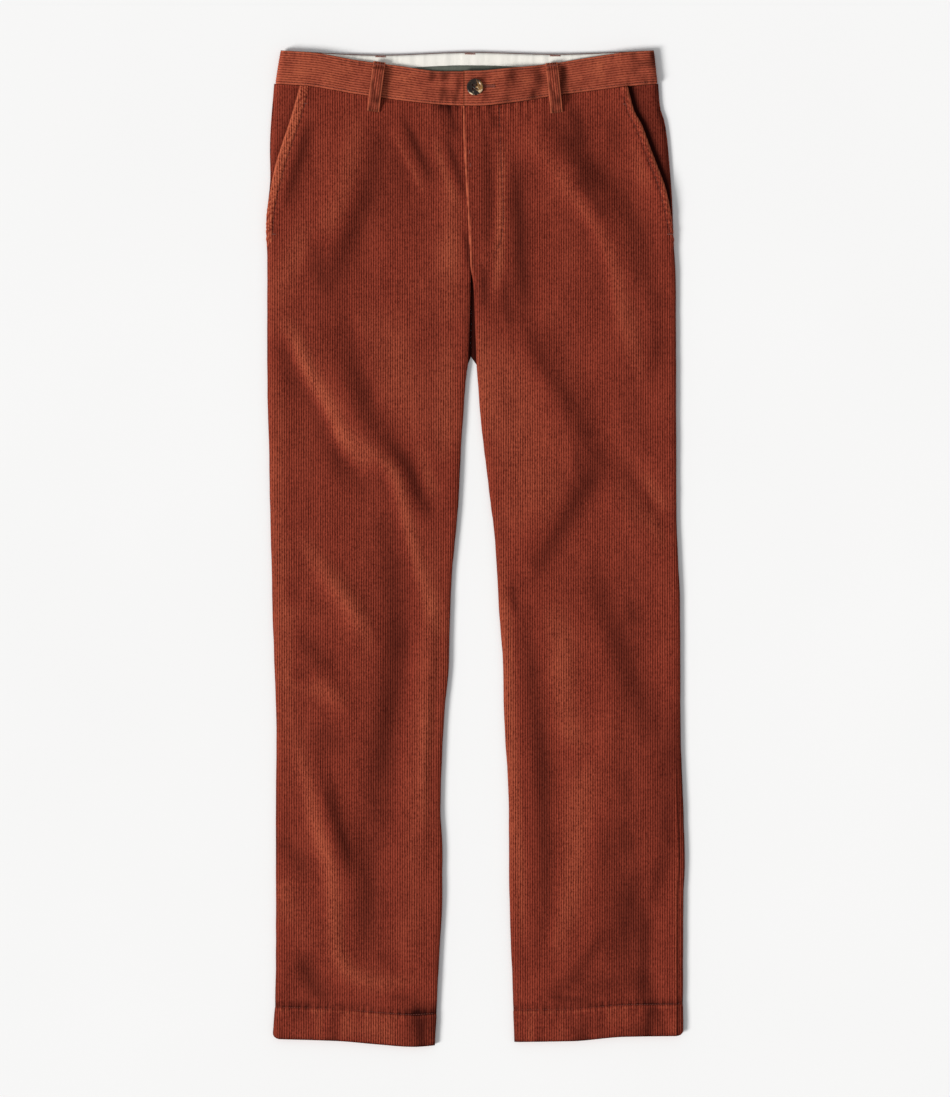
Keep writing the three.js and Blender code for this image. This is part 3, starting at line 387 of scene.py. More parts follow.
@dataclass(frozen=True)
class Pattern:
    """The garment's cut and how its layers lie, shared by all its pieces."""

    cloth: float = 1.4
    wale_pitch: float = 2.77
    wale_rise: float = 0.5
    seam: float = 0.3
    waist_seam: float = 0.5
    roll: float = 8.0
    seam_height: float = 3.0
    front_top: float = 5.6
    leg_loft: float = 1.1
    hip_rise: float = 1.4
    waist_rise: float = 0.5
    band: float = 2.6
    band_top: float = 8.6
    band_seam_height: float = 4.4
    band_roll: float = 7.0
    band_underlap: float = 26.0
    back_band: float = 1.6
    back_band_depth: float = 38.0
    back_lift: float = 1.7
    underlap: float = 12.0
    lap_lift: float = 2.0
    lap_width: float = 46.0
    fly_end: float = 244.0
    centre_back: float = -6.0
    crotch: float = 355.0
    top_row: float = 38.5
    hem_row: float = 1140.0
    hem_depth: float = 38.0
    hem_cloth: float = 2.4
    hem_corner: float = 6.0
    pocket_end: float = 218.0
    button_x: float = -1.4
    button_drop: float = 43.9
    fork: float = 251.0
    waist_reach: float = 300.0
    hem_reach: float = 1000.0

    side_edge = {
        Side.LEFT: Curve((
            (38, -232.5), (115, -237.5), (145, -237), (198, -241.5), (245, -240), (357, -240),
            (467, -238), (645, -234), (794, -229.5), (860, -230.2), (1054, -230.2), (1100, -231),
            (1145, -233.5),
        )),
        Side.RIGHT: Curve((
            (38, 209.5), (66, 211.5), (86, 217.5), (126, 222), (177, 225.8), (223, 227.3),
            (277, 229.5), (530, 230.2), (645, 234.3), (771, 234.8), (898, 239), (932, 239.8),
            (978, 238.2), (1145, 237.6),
        )),
    }
    inseam = {
        Side.LEFT: Curve((
            (251, -6.3), (355, -9.4), (385, -12.7), (467, -18.4), (518, -20.7), (610, -28.8),
            (716, -32.4), (760, -36.8), (875, -41.4), (921, -39.3), (967, -39.3), (1054, -43.7),
            (1145, -48.5),
        )),
        Side.RIGHT: Curve((
            (251, -5.5), (267, -3.2), (311, -0.9), (355, 0.6), (385, 2.5), (426, 5.8), (523, 17.2),
            (564, 22.1), (661, 27.8), (708, 31.3), (760, 32.4), (875, 38), (944, 38.2), (1059, 41.6),
            (1145, 45),
        )),
    }
    mouth = {
        Side.LEFT: Curve(((38, 34), (80, 26), (107, 18.5), (134, 10), (156, 4.5), (180, 2.2), (218, 0))),
        Side.RIGHT: Curve(((38, 40), (80, 32), (107, 26), (134, 18.5), (156, 12), (180, 7), (218, 0))),
    }
    gape = {Side.LEFT: 0.1, Side.RIGHT: 2.4}
    hem = {
        Side.LEFT: Curve(((-232, 1138), (-157, 1140.5), (-116, 1144), (-72, 1147), (-48, 1145.5))),
        Side.RIGHT: Curve(((46, 1141.5), (110, 1140.5), (171, 1135.5), (237, 1134.5))),
    }
    fly_edge = Curve(((20, -14.7), (64, -14.4), (231, -6.3), (251, -5.5)))
    band_upper = Curve((
        (-231, 0.8), (-192, 3.4), (-141, 12), (-91, 18.6), (-40, 24.8), (0, 24.6), (40, 21.2),
        (90, 15.8), (135, 8.6), (175, 3), (209, 0.8),
    ))
    band_lower = Curve((
        (-231, 39), (-192, 42), (-141, 50.5), (-91, 57.8), (-40, 63.2), (0, 64.8), (40, 61.2),
        (90, 53), (135, 47), (175, 42), (209, 39),
    ))
    back_edge = Curve(((-228, 0.4), (-110, 5.6), (-8, 2.4), (91, 4.6), (206, 0.4)))
    band_ends = {Side.LEFT: (-225.0, -231.0), Side.RIGHT: (204.5, 208.7)}
    creases = {Side.LEFT: FOLDS[:11] + LEFT_CREASES, Side.RIGHT: FOLDS[11:] + RIGHT_CREASES}

    def row_drop(self, side: Side, x: Array, nominal: Array, corner: Array) -> Array:
        """A row's true drop: rows bend with the waist seam and with the hem, and round its corners.

        Args:
            side: which side's panel.
            x: the places' x.
            nominal: their row.
            corner: how far in they lie from the side edge.

        Returns:
            The drop at each place.
        """
        waist = self.band_lower(x) + self.waist_seam - self.top_row
        waist = waist * (1 - ease(nominal, self.top_row, self.waist_reach))
        return nominal + waist + self.hem_shift(side, x, nominal, corner)

    def hem_shift(self, side: Side, x: Array, nominal: Array, corner: Array) -> Array:
        """How far a row is moved to follow the hem and its rounded corner.

        Args:
            side: which side's panel.
            x: the places' x.
            nominal: their row.
            corner: how far in they lie from the side edge.

        Returns:
            The shift at each place.
        """
        away = 1 - np.clip(corner / self.roll, 0, 1)
        rounded = self.hem_corner * (1 - np.sqrt(1 - away**2))
        return (self.hem[side](x) - self.hem_row - rounded) * ease(nominal, self.hem_reach, self.hem_row)

    def pocket_distance(self, side: Side, x: Array, drop: Array) -> Array:
        """How far in from the pocket mouth's edge a place on the flat front lies."""
        inset = np.abs(x - self.side_edge[side](drop))
        return inset - self.mouth[side](drop) + self.roll * (math.pi / 2 - 1)

    def front_height(self, side: Side, x: Array, drop: Array) -> Array:
        """The height of a front's surface, up to the grooves of the corduroy."""
        return self.front_surface(side, x, drop)[0]

    def plain_height(self, drop: Array) -> Array:
        """The height of a front with neither loft nor folds."""
        hip = self.hip_rise * ease(drop, self.waist_reach, 215)
        return self.front_top + hip + self.waist_rise * ease(drop, 110, 66)

    def front_surface(self, side: Side, x: Array, drop: Array) -> tuple[Array, Array]:
        """A front's surface.

        Args:
            side: which front.
            x: the places' x.
            drop: the places' drop.

        Returns:
            The surface's height up to the grooves of the corduroy, and the painted highlight and shade along
            its creases.
        """
        lap = drop < self.fly_end + 10
        centre = np.where(lap, self.fly_edge(drop), self.inseam[side](drop))
        edge = self.side_edge[side](drop)
        inset = np.abs(x - edge)
        across = np.clip(inset / np.abs(edge - centre), 0, 1)
        from_centre = side.value * (x - centre)
        calm = ease(from_centre, np.where(lap, 2, self.roll), np.where(lap, 26, 22))
        calm = calm * ease(inset, self.roll, 24)
        seam = self.band_lower(x)
        calm = calm * ease(drop, seam + 2, seam + 34) * ease(drop, 1112, 1060)
        loft = 4 * across * (1 - across) * ease(drop, 260, 400) * ease(drop, 1140, 1040)
        height = self.plain_height(drop) + self.leg_loft * loft
        tone = 0 * height
        # each crease raises or sinks the surface, and paints highlight and shade on it
        for bent in self.creases[side]:
            share = bent.over(x, drop)
            height = height + bent.rise * share * calm
            tone = tone + bent.tone * share
        away = self.pocket_distance(side, x, drop)
        height = height + self.gape[side] * ease(away, 26, 0) * ease(drop, 215, 150)
        if side is Side.RIGHT:
            lapped = ease(from_centre, self.lap_width, 4) * ease(drop, self.fly_end + 42, self.fly_end - 8)
            height = height + self.lap_lift * lapped
        return height, tone

    def band_height(self, side: Side, x: Array) -> Array:
        """The height of the front waistband's surface, whose right half laps over the left one."""
        lift = (self.band + self.seam + self.wale_rise) * ease(x - self.fly_edge(0), 90, 53)
        return self.band_top + (lift if side is Side.RIGHT else 0) + 0 * x

    def wale(self, across: Array) -> Array:
        """The height of the corduroy's ribs above their grooves, with crests at whole pitches."""
        share = np.abs(across / self.wale_pitch - np.round(across / self.wale_pitch)) * 2
        return self.wale_rise * (1 - share**2.2)

    def columns(self, start: Array, end: Array) -> Array:
        """Places across each row's cloth from its start to its end, so many to each rib.

        Args:
            start: where each row starts.
            end: where each row ends.

        Returns:
            A row of places for each row of cloth.
        """
        step = self.wale_pitch / WALE_COLUMNS
        first, last = math.floor(start.min() / step), math.ceil(end.max() / step)
        return np.clip((np.arange(first, last + 1) * step)[None, :], start, end)

    def bend(self, q: Array, flat_out: Array, flat_in: Array, radius: Array) -> tuple[Array, ...]:
        """Rows of cloth whose outer and inner edges are rounded down.

        Args:
            q: places across the rows.
            flat_out: where each row's flat stretch starts.
            flat_in: where it ends.
            radius: the radius at its inner edge.

        Returns:
            The nearest place on the flat stretch, the angles of the outer and of the inner edge, and
            how far out the place is, seen from above.
        """
        level = np.clip(q, flat_out, flat_in)
        out_angle = math.pi / 2 - np.maximum(flat_out - q, 0) / self.roll
        in_angle = math.pi / 2 - np.maximum(q - flat_in, 0) / radius
        plan = level - self.roll * np.cos(out_angle) + radius * np.cos(in_angle)
        return level, out_angle, in_angle, plan

    def band_line(self, side: Side, inner_end: float, count: int) -> tuple[Array, Array, Array]:
        """Stations along half a waistband, whose outer end rounds down to the side seam.

        Args:
            side: which half.
            inner_end: x of its end at the middle.
            count: how many stations its flat stretch has.

        Returns:
            Each station's x, the angle of the surface there, and how far its upper edge leans.
        """
        top_end, seam_end = self.band_ends[side]
        roll = side.value * self.band_roll
        angles = np.linspace(0, math.pi / 2, 9)[:-1]
        flat = np.linspace(seam_end - roll, inner_end, count)
        x = np.concatenate([seam_end - roll * (1 - np.cos(angles)), flat])[:, None]
        angle = np.concatenate([angles, np.full(count, math.pi / 2)])[:, None]
        lean = np.clip((x - inner_end) / (seam_end - inner_end), 0, 1) * (top_end - seam_end)
        return x, angle, lean


PATTERN = Pattern()
_button_low, _button_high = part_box("button")
# How far the garment's own places are shifted to the frame's, from where the frame has the button
SHIFT_X = (_button_low.x + _button_high.x) / 2 / MM - PATTERN.button_x
SHIFT_Y = (_button_low.y + _button_high.y) / 2 / MM + PATTERN.button_drop


@dataclass
class Cloth:
    """Points on a piece of cloth, with what its finish needs to know at each.

    across and along are places on the cloth, square to the ribs and along them. tone lightens or darkens it:
    random mottling of the pile, and painted highlight and shade on folds, puckers, seams and edges. wear is
    how far its edge is rubbed.
    """

    x: Array
    drop: Array
    z: Array
    across: Array
    along: Array
    tone: Array | float = 0.0
    wear: Array | float = 0.0

    def points(self) -> Array:
        """The points in metres, in the frame's own place.

        Returns:
            An array whose last axis is x, y and z.
        """
        shape = np.broadcast(self.x, self.drop, self.z).shape
        flat = [np.broadcast_to(a, shape) for a in (self.x + SHIFT_X, SHIFT_Y - self.drop, self.z)]
        return np.stack(flat, -1) * MM

    def marks(self) -> Array:
        """across, along, tone and wear at each point.

        Returns:
            An array whose last axis is those four.
        """
        shape = np.broadcast(self.x, self.drop, self.z).shape
        given = (self.across, self.along, self.tone, self.wear)
        return np.stack([np.broadcast_to(np.asarray(a, float), shape) for a in given], -1)


class MeshMaker:
    """Gathers points and faces, and makes one object of them."""

    def __init__(self, name: str) -> None:
        """Starts an empty mesh with the object's name.

        Args:
            name: the object's name.
        """
        self.name = name
        self.points: list[Array] = []
        self.marks: list[Array] = []
        self.faces: list[Array] = []
        self.count = 0

    def add_points(self, points: Array, marks: Array | None = None) -> Array:
        """Adds points.

        Args:
            points: an array whose last axis is x, y and z in metres.
            marks: across, along, tone and wear at each point, or None for a thing that isn't corduroy.

        Returns:
            The points' numbers, in the array's shape.
        """
        flat = points.reshape(-1, 3)
        self.points.append(flat)
        self.marks.append(np.zeros((len(flat), 4)) if marks is None else marks.reshape(-1, 4))
        numbers = np.arange(self.count, self.count + len(flat)).reshape(points.shape[:-1])
        self.count += len(flat)
        return numbers

    def add_grid(self, numbers: Array, flip: bool = False) -> None:
        """Joins a grid of points, which has rows and columns, with triangles.

        Args:
            numbers: the points' numbers.
            flip: whether its faces look the other way.
        """
        a, b = numbers[:-1, :-1], numbers[:-1, 1:]
        c, d = numbers[1:, 1:], numbers[1:, :-1]
        faces = np.concatenate(
            [np.stack([a, b, c], -1).reshape(-1, 3), np.stack([a, c, d], -1).reshape(-1, 3)]
        )
        self.faces.append(faces[:, ::-1] if flip else faces)

    def add_strip(self, fine: Array, coarse: Array) -> None:
        """Joins a line of points to a sparser one beside it.

        Args:
            fine: the line's numbers.
            coarse: the sparser line's numbers.
        """
        made = []
        i = k = 0
        while i < len(fine) - 1 or k < len(coarse) - 1:
            ahead = (i + 1) / (len(fine) - 1) <= (k + 0.5) / (len(coarse) - 1)
            if k == len(coarse) - 1 or (ahead and i < len(fine) - 1):
                made.append((fine[i], fine[i + 1], coarse[k]))
                i += 1
            else:
                made.append((fine[i], coarse[k + 1], coarse[k]))
                k += 1
        self.faces.append(np.array(made))

    def add_wall(self, outer: Cloth, inner: Cloth, keep: int) -> None:
        """Adds a closed wall of cloth between two sheets of the same grid.

        Args:
            outer: the sheet that shows, with its relief.
            inner: the sheet behind it, of which only some columns are kept.
            keep: one column in this many is kept.
        """
        face = outer.points()
        columns = sorted(set(range(0, face.shape[1], keep)) | {face.shape[1] - 1})
        top = self.add_points(face, outer.marks())
        under = self.add_points(inner.points()[:, columns], inner.marks()[:, columns])
        self.add_grid(top)
        self.add_grid(under, flip=True)
        self.add_grid(np.stack([top[:, 0], under[:, 0]], 1), flip=True)
        self.add_grid(np.stack([top[:, -1], under[:, -1]], 1))
        self.add_strip(top[0], under[0])
        self.add_strip(top[-1][::-1], under[-1][::-1])

    def make(self, material: bpy.types.Material) -> bpy.types.Object:
        """Makes the object, with doubled points merged and faces turned outwards.

        Args:
            material: its finish.

        Returns:
            The new object, linked to the scene.
        """
        points = np.concatenate(self.points)
        marks = np.concatenate(self.marks)
        faces = np.concatenate(self.faces)
        _, first, merged = np.unique(np.round(points, 7), axis=0, return_index=True, return_inverse=True)
        faces = merged.reshape(-1)[faces]
        whole = (faces[:, 0] != faces[:, 1]) & (faces[:, 1] != faces[:, 2]) & (faces[:, 0] != faces[:, 2])
        faces = faces[whole]
        points, marks = points[first], marks[first]
        corners = points[faces]
        if np.einsum("ij,ij->", corners[:, 0], np.cross(corners[:, 1], corners[:, 2])) < 0:
            faces = faces[:, ::-1]
        mesh = bpy.data.meshes.new(self.name)
        mesh.vertices.add(len(points))
        mesh.vertices.foreach_set("co", points.ravel())
        mesh.loops.add(faces.size)
        mesh.loops.foreach_set("vertex_index", faces.ravel())
        mesh.polygons.add(len(faces))
        mesh.polygons.foreach_set("loop_start", np.arange(0, faces.size, 3))
        mesh.polygons.foreach_set("use_smooth", np.full(len(faces), True))
        mesh.update(calc_edges=True)
        place = mesh.attributes.new("cloth", "FLOAT_VECTOR", "POINT")
        place.data.foreach_set("vector", marks[:, (0, 1, 2)].ravel())
        wear = mesh.attributes.new("wear", "FLOAT", "POINT")
        wear.data.foreach_set("value", marks[:, 3].copy())
        made = bpy.data.objects.new(self.name, mesh)
        bpy.context.scene.collection.objects.link(made)
        made.data.materials.append(material)
        return made


class Graph:
    """A small helper that adds nodes to a tree and joins them."""

    def __init__(self, tree: bpy.types.NodeTree) -> None:
        """Takes the tree that it fills."""
        self.tree = tree

    def add(self, kind: str, inputs: dict | None = None, **settings: object) -> bpy.types.Node:
        """Adds a node.

        Args:
            kind: the node's type.
            inputs: for each input's name or number, a value or the socket that feeds it.
            settings: properties of the node.

        Returns:
            The new node.
        """
        node = self.tree.nodes.new(kind)
        for key, value in settings.items():
            setattr(node, key, value)
        self.feed(node, inputs or {})
        return node

    def feed(self, node: bpy.types.Node, inputs: dict) -> None:
        """Gives a node's inputs a value, or the socket that feeds them.

        Args:
            node: the node.
            inputs: for each input's name or number, what it gets.
        """
        for key, value in inputs.items():
            if isinstance(value, bpy.types.NodeSocket):
                self.tree.links.new(value, node.inputs[key])
            else:
                node.inputs[key].default_value = value

    def math(self, operation: str, *values: object, clamp: bool = False) -> bpy.types.NodeSocket:
        """A number worked out from others.

        Args:
            operation: what is done to them.
            values: numbers, or the sockets that give them.
            clamp: whether the result is kept between 0 and 1.

        Returns:
            The socket with the result.
        """
        inputs = dict(enumerate(values))
        return self.add("ShaderNodeMath", inputs, operation=operation, use_clamp=clamp).outputs[0]

    def blend(self, share: object, low: object, high: object) -> bpy.types.NodeSocket:
        """A colour between two others."""
        inputs = {"Factor": share, 6: low, 7: high}
        return self.add("ShaderNodeMix", inputs, data_type="RGBA").outputs[2]

    def noise(self, place: object, scale: float, detail: float, rough: float = 0.5) -> bpy.types.NodeSocket:
        """Noise over a place."""
        inputs = {"Vector": place, "Scale": scale, "Detail": detail, "Roughness": rough}
        return self.add("ShaderNodeTexNoise", inputs).outputs["Fac"]

    def cloth_noise(
        self, place: object, across: float, along: float, detail: float, rough: float = 0.6
    ) -> bpy.types.NodeSocket:
        """Noise over cloth.

        Args:
            place: the socket with the place on the cloth.
            across: how many cells a millimetre has, square to the ribs.
            along: how many it has along them.
            detail: how many finer layers it has.
            rough: how strong those layers are.

        Returns:
            The socket with the noise.
        """
        inputs = {0: place, 1: (across, along, 0)}
        stretched = self.add("ShaderNodeVectorMath", inputs, operation="MULTIPLY").outputs[0]
        return self.noise(stretched, 1.0, detail, rough)

    def bump(self, height: object, strength: float, distance: float) -> bpy.types.NodeSocket:
        """A normal bent by a height."""
        inputs = {"Height": height, "Strength": strength, "Distance": distance}
        return self.add("ShaderNodeBump", inputs).outputs[0]


def new_group(name: str, inputs: Sequence[tuple[str, str, object]], outputs: Sequence[str]) -> Graph:
    """Starts a shader node group.

    Args:
        name: the group's name.
        inputs: name, socket type and default of each input.
        outputs: the name of each number that it puts out.

    Returns:
        The graph to fill, whose tree has the group's input and output nodes.
    """
    tree = bpy.data.node_groups.new(name, "ShaderNodeTree")
    for label, kind, default in inputs:
        socket = tree.interface.new_socket(label, in_out="INPUT", socket_type=kind)
        if default is not None:
            socket.default_value = default
    for label in outputs:
        tree.interface.new_socket(label, in_out="OUTPUT", socket_type="NodeSocketFloat")
    tree.nodes.new("NodeGroupInput").name = "in"
    tree.nodes.new("NodeGroupOutput").name = "out"
    return Graph(tree)


def wale_group() -> bpy.types.NodeTree:
    """The ribs of corduroy: how near a place is to a crest, and how each rib differs from the next.

    Returns:
        The group.
    """
    graph = new_group(
        "wales",
        [("Place", "NodeSocketVector", None), ("Pitch", "NodeSocketFloat", PATTERN.wale_pitch)],
        ("Crest", "Streak"),
    )
    given = graph.tree.nodes["in"].outputs
    parts = graph.add("ShaderNodeSeparateXYZ", {0: given["Place"]}).outputs
    wander = graph.cloth_noise(given["Place"], 0.09, 0.045, 3.0, 0.5)
    wandered = graph.math("MULTIPLY_ADD", wander, 1.1, graph.math("ADD", parts["X"], -0.55))
    turns = graph.math("MULTIPLY", graph.math("DIVIDE", wandered, given["Pitch"]), math.tau)
    wave = graph.math("MULTIPLY_ADD", graph.math("COSINE", turns), 0.5, 0.5)
    crest = graph.math("POWER", wave, 0.8)
    long_streak = graph.cloth_noise(given["Place"], 0.36, 0.02, 3.0)
    short_streak = graph.cloth_noise(given["Place"], 0.5, 0.16, 2.0)
    streak = graph.math("MULTIPLY_ADD", short_streak, 0.6, graph.math("MULTIPLY", long_streak, 0.4))
    graph.feed(graph.tree.nodes["out"], {"Crest": crest, "Streak": streak})
    return graph.tree


def pile_group() -> bpy.types.NodeTree:
    """Cut pile: soft patches where it lies another way, and the fine fibres.

    Returns:
        The group.
    """
    graph = new_group("pile", [("Place", "NodeSocketVector", None)], ("Patch", "Fibre"))
    place = graph.tree.nodes["in"].outputs["Place"]
    broad = graph.cloth_noise(place, 0.035, 0.016, 3.0, 0.55)
    small = graph.cloth_noise(place, 0.2, 0.06, 4.0, 0.65)
    ripple = graph.cloth_noise(place, 0.06, 0.19, 3.0)
    mixed = graph.math("MULTIPLY_ADD", small, 0.4, graph.math("MULTIPLY", ripple, 0.35))
    patch = graph.math("MULTIPLY_ADD", broad, 0.45, graph.math("ADD", mixed, -0.1))
    fibre = graph.cloth_noise(place, 0.65, 0.34, 3.0, 0.75)
    graph.feed(graph.tree.nodes["out"], {"Patch": patch, "Fibre": fibre})
    return graph.tree


def weave_group() -> bpy.types.NodeTree:
    """A woven ground: threads that cross, with slubs.

    Returns:
        The group.
    """
    graph = new_group(
        "weave",
        [("Place", "NodeSocketVector", None), ("Thread", "NodeSocketFloat", 0.5)],
        ("Thread", "Slub"),
    )
    given = graph.tree.nodes["in"].outputs
    parts = graph.add("ShaderNodeSeparateXYZ", {0: given["Place"]}).outputs
    turns = [
        graph.math("MULTIPLY", graph.math("DIVIDE", parts[axis], given["Thread"]), math.tau) for axis in "XY"
    ]
    diagonal = graph.math("ADD", turns[0], turns[1])
    twill = graph.math("MULTIPLY_ADD", graph.math("SINE", diagonal), 0.5, 0.5)
    slub = graph.cloth_noise(given["Place"], 0.5, 0.12, 4.0)
    graph.feed(graph.tree.nodes["out"], {"Thread": twill, "Slub": slub})
    return graph.tree


def new_material(name: str) -> tuple[bpy.types.Material, Graph, bpy.types.Node]:
    """Starts a material.

    Args:
        name: the material's name.

    Returns:
        The material, its graph and its shader, which is joined to the output.
    """
    material = bpy.data.materials.new(name)
    material.use_nodes = True
    return material, Graph(material.node_tree), material.node_tree.nodes["Principled BSDF"]


@dataclass(frozen=True)
class CorduroyFinish:
    """Cotton corduroy: light crests, dark grooves, uneven pile and a soft sheen, with painted highlight and
    shade from its tone.
    """

    name: str
    crest: Colour = (0.28, 0.0455, 0.0245, 1)
    groove: Colour = (0.075, 0.009, 0.0048, 1)
    # the light colour of painted highlights, and of lighter pile
    light_pile_and_highlight: Colour = (0.46, 0.108, 0.052, 1)
    rubbed: Colour = (0.54, 0.14, 0.068, 1)
    shade: Colour = (0.022, 0.0025, 0.0015, 1)
    sheen: float = 0.1
    sheen_tint: Colour = (0.9, 0.32, 0.2, 1)
    crest_share: float = 0.72
    least_share: float = 0.2
    patches: float = 1.15
    streaks: float = 1.5
    fibres: float = 2.6
    # how strongly tone, which holds painted highlight and shade, changes the colour
    tone_gain: float = 0.74

    def make(self, wales: bpy.types.NodeTree, pile: bpy.types.NodeTree) -> bpy.types.Material:
        """Builds the material from the two groups.

        Args:
            wales: the group of the ribs.
            pile: the group of the pile.

        Returns:
            The material.
        """
        material, graph, shader = new_material(self.name)
        place = graph.add("ShaderNodeAttribute", attribute_name="cloth").outputs["Vector"]
        wear = graph.add("ShaderNodeAttribute", attribute_name="wear").outputs["Fac"]
        tone = graph.add("ShaderNodeSeparateXYZ", {0: place}).outputs["Z"]
        ribs = graph.add("ShaderNodeGroup", {"Place": place}, node_tree=wales)
        nap = graph.add("ShaderNodeGroup", {"Place": place}, node_tree=pile)
        streak = graph.math("MULTIPLY_ADD", ribs.outputs["Streak"], self.streaks, -self.streaks / 2)
        patch = graph.math("MULTIPLY_ADD", nap.outputs["Patch"], self.patches, -self.patches / 2)
        fibre = graph.math("MULTIPLY_ADD", nap.outputs["Fibre"], self.fibres, -self.fibres / 2)
        level = graph.math("ADD", graph.math("ADD", streak, patch), fibre)
        crest = graph.math("MULTIPLY_ADD", ribs.outputs["Crest"], self.crest_share, self.least_share)
        share = graph.math("ADD", crest, level, clamp=True)
        colour = graph.blend(share, self.groove, self.crest)
        # painted highlight and shade: tone above 0 blends towards the light colour and below 0 towards the
        # shade colour; the same tone also holds the pile's random mottling
        lighter = graph.math("MULTIPLY", graph.math("MULTIPLY", tone, self.tone_gain, clamp=True), share)
        colour = graph.blend(lighter, colour, self.light_pile_and_highlight)
        darker = graph.math("MULTIPLY", tone, -self.tone_gain, clamp=True)
        colour = graph.blend(darker, colour, self.shade)
        rub = graph.math("MULTIPLY", wear, ribs.outputs["Streak"], clamp=True)
        colour = graph.blend(rub, colour, self.rubbed)
        height = graph.math("MULTIPLY_ADD", nap.outputs["Fibre"], 0.6, ribs.outputs["Crest"])
        graph.feed(shader, {
            "Base Color": colour,
            "Normal": graph.bump(height, 0.5, 0.3 * MM),
            "Roughness": 0.92,
            "Specular IOR Level": 0.06,
            "Sheen Weight": self.sheen,
            "Sheen Roughness": 0.4,
            "Sheen Tint": self.sheen_tint,
        })
        return material


@dataclass(frozen=True)
class WovenFinish:
    """Plain woven cotton, for the waistband's lining and tape."""

    name: str
    light: Colour
    dark: Colour
    thread: float = 0.5

    def make(self, weave: bpy.types.NodeTree) -> bpy.types.Material:
        """Builds the material from the weave's group.

        Args:
            weave: the group.

        Returns:
            The material.
        """
        material, graph, shader = new_material(self.name)
        place = graph.add("ShaderNodeAttribute", attribute_name="cloth").outputs["Vector"]
        cloth = graph.add("ShaderNodeGroup", {"Place": place, "Thread": self.thread}, node_tree=weave)
        threads = graph.math("MULTIPLY", cloth.outputs["Thread"], 0.5)
        share = graph.math("MULTIPLY_ADD", cloth.outputs["Slub"], 0.7, threads, clamp=True)
        graph.feed(shader, {
            "Base Color": graph.blend(share, self.dark, self.light),
            "Normal": graph.bump(cloth.outputs["Thread"], 0.35, 0.2 * MM),
            "Roughness": 0.88,
            "Specular IOR Level": 0.2,
        })
        return material


@dataclass(frozen=True)
class ThreadFinish:
    """Sewing thread, twisted and slightly glossy."""

    name: str
    light: Colour
    dark: Colour

    def make(self) -> bpy.types.Material:
        """Builds the material.

        Returns:
            The material.
        """
        material, graph, shader = new_material(self.name)
        place = graph.add("ShaderNodeTexCoord").outputs["Object"]
        twist = graph.noise(place, 2200.0, 2.0)
        graph.feed(shader, {
            "Base Color": graph.blend(twist, self.dark, self.light),
            "Normal": graph.bump(twist, 0.3, 0.1 * MM),
            "Roughness": 0.6,
        })
        return material


@dataclass(frozen=True)
class HornFinish:
    """Polished horn: dark brown with cream swirls."""

    name: str = "horn"
    dark: Colour = (0.018, 0.01, 0.007, 1)
    brown: Colour = (0.26, 0.13, 0.04, 1)
    cream: Colour = (0.72, 0.56, 0.36, 1)
    spread: float = 105.0
    swirls: float = 110.0

    def make(self) -> bpy.types.Material:
        """Builds the material, which is amber towards the button's right and cream towards its foot.

        Returns:
            The material.
        """
        material, graph, shader = new_material(self.name)
        place = graph.add("ShaderNodeTexCoord").outputs["Object"]
        middle = (_button_low + _button_high) / 2
        parts = graph.add("ShaderNodeSeparateXYZ", {0: place}).outputs
        right = graph.math("MULTIPLY_ADD", parts["X"], self.spread, -middle.x * self.spread)
        down = graph.math("MULTIPLY_ADD", parts["Y"], -self.spread, middle.y * self.spread)
        swirl = graph.add(
            "ShaderNodeTexNoise",
            {"Vector": place, "Scale": self.swirls, "Detail": 3.0, "Roughness": 0.5, "Distortion": 1.4},
        ).outputs["Fac"]
        amber = graph.math("MULTIPLY_ADD", right, 0.24, swirl)
        pale = graph.math("MULTIPLY_ADD", down, 0.26, swirl)
        brown = graph.math("MULTIPLY_ADD", amber, 6.0, -3.3, clamp=True)
        cream = graph.math("MULTIPLY_ADD", pale, 9.0, -6.1, clamp=True)
        colour = graph.blend(cream, graph.blend(brown, self.dark, self.brown), self.cream)
        graph.feed(shader, {
            "Base Color": colour,
            "Roughness": graph.math("MULTIPLY_ADD", swirl, 0.2, 0.18),
            "Specular IOR Level": 0.3,
            "Coat Weight": 0.15,
        })
        return material


@dataclass
class Wardrobe:
    """Every finish of the garment, built once."""

    corduroy: bpy.types.Material = field(init=False)
    band: bpy.types.Material = field(init=False)
    lining: bpy.types.Material = field(init=False)
    tape: bpy.types.Material = field(init=False)
    thread: bpy.types.Material = field(init=False)
    dark_thread: bpy.types.Material = field(init=False)
    horn: bpy.types.Material = field(init=False)

    def __post_init__(self) -> None:
        """Builds the groups and the materials."""
        wales, pile, weave = wale_group(), pile_group(), weave_group()
        self.corduroy = CorduroyFinish("rust_corduroy").make(wales, pile)
        self.band = CorduroyFinish(
            "rust_corduroy_band",
            crest=(0.38, 0.081, 0.043, 1),
            groove=(0.12, 0.018, 0.01, 1),
            patches=1.2,
            streaks=1.1,
            fibres=2.0,
        ).make(wales, pile)
        ecru = WovenFinish("ecru_twill", (0.95, 0.925, 0.86, 1), (0.8, 0.77, 0.69, 1), 0.7)
        green = WovenFinish("green_tape", (0.15, 0.165, 0.135, 1), (0.06, 0.07, 0.055, 1), 0.9)
        rust = ThreadFinish("rust_thread", (0.3, 0.07, 0.04, 1), (0.13, 0.026, 0.015, 1))
        dark = ThreadFinish("dark_thread", (0.09, 0.03, 0.018, 1), (0.03, 0.01, 0.007, 1))
        self.lining, self.tape = ecru.make(weave), green.make(weave)
        self.thread, self.dark_thread = rust.make(), dark.make()
        self.horn = HornFinish().make()


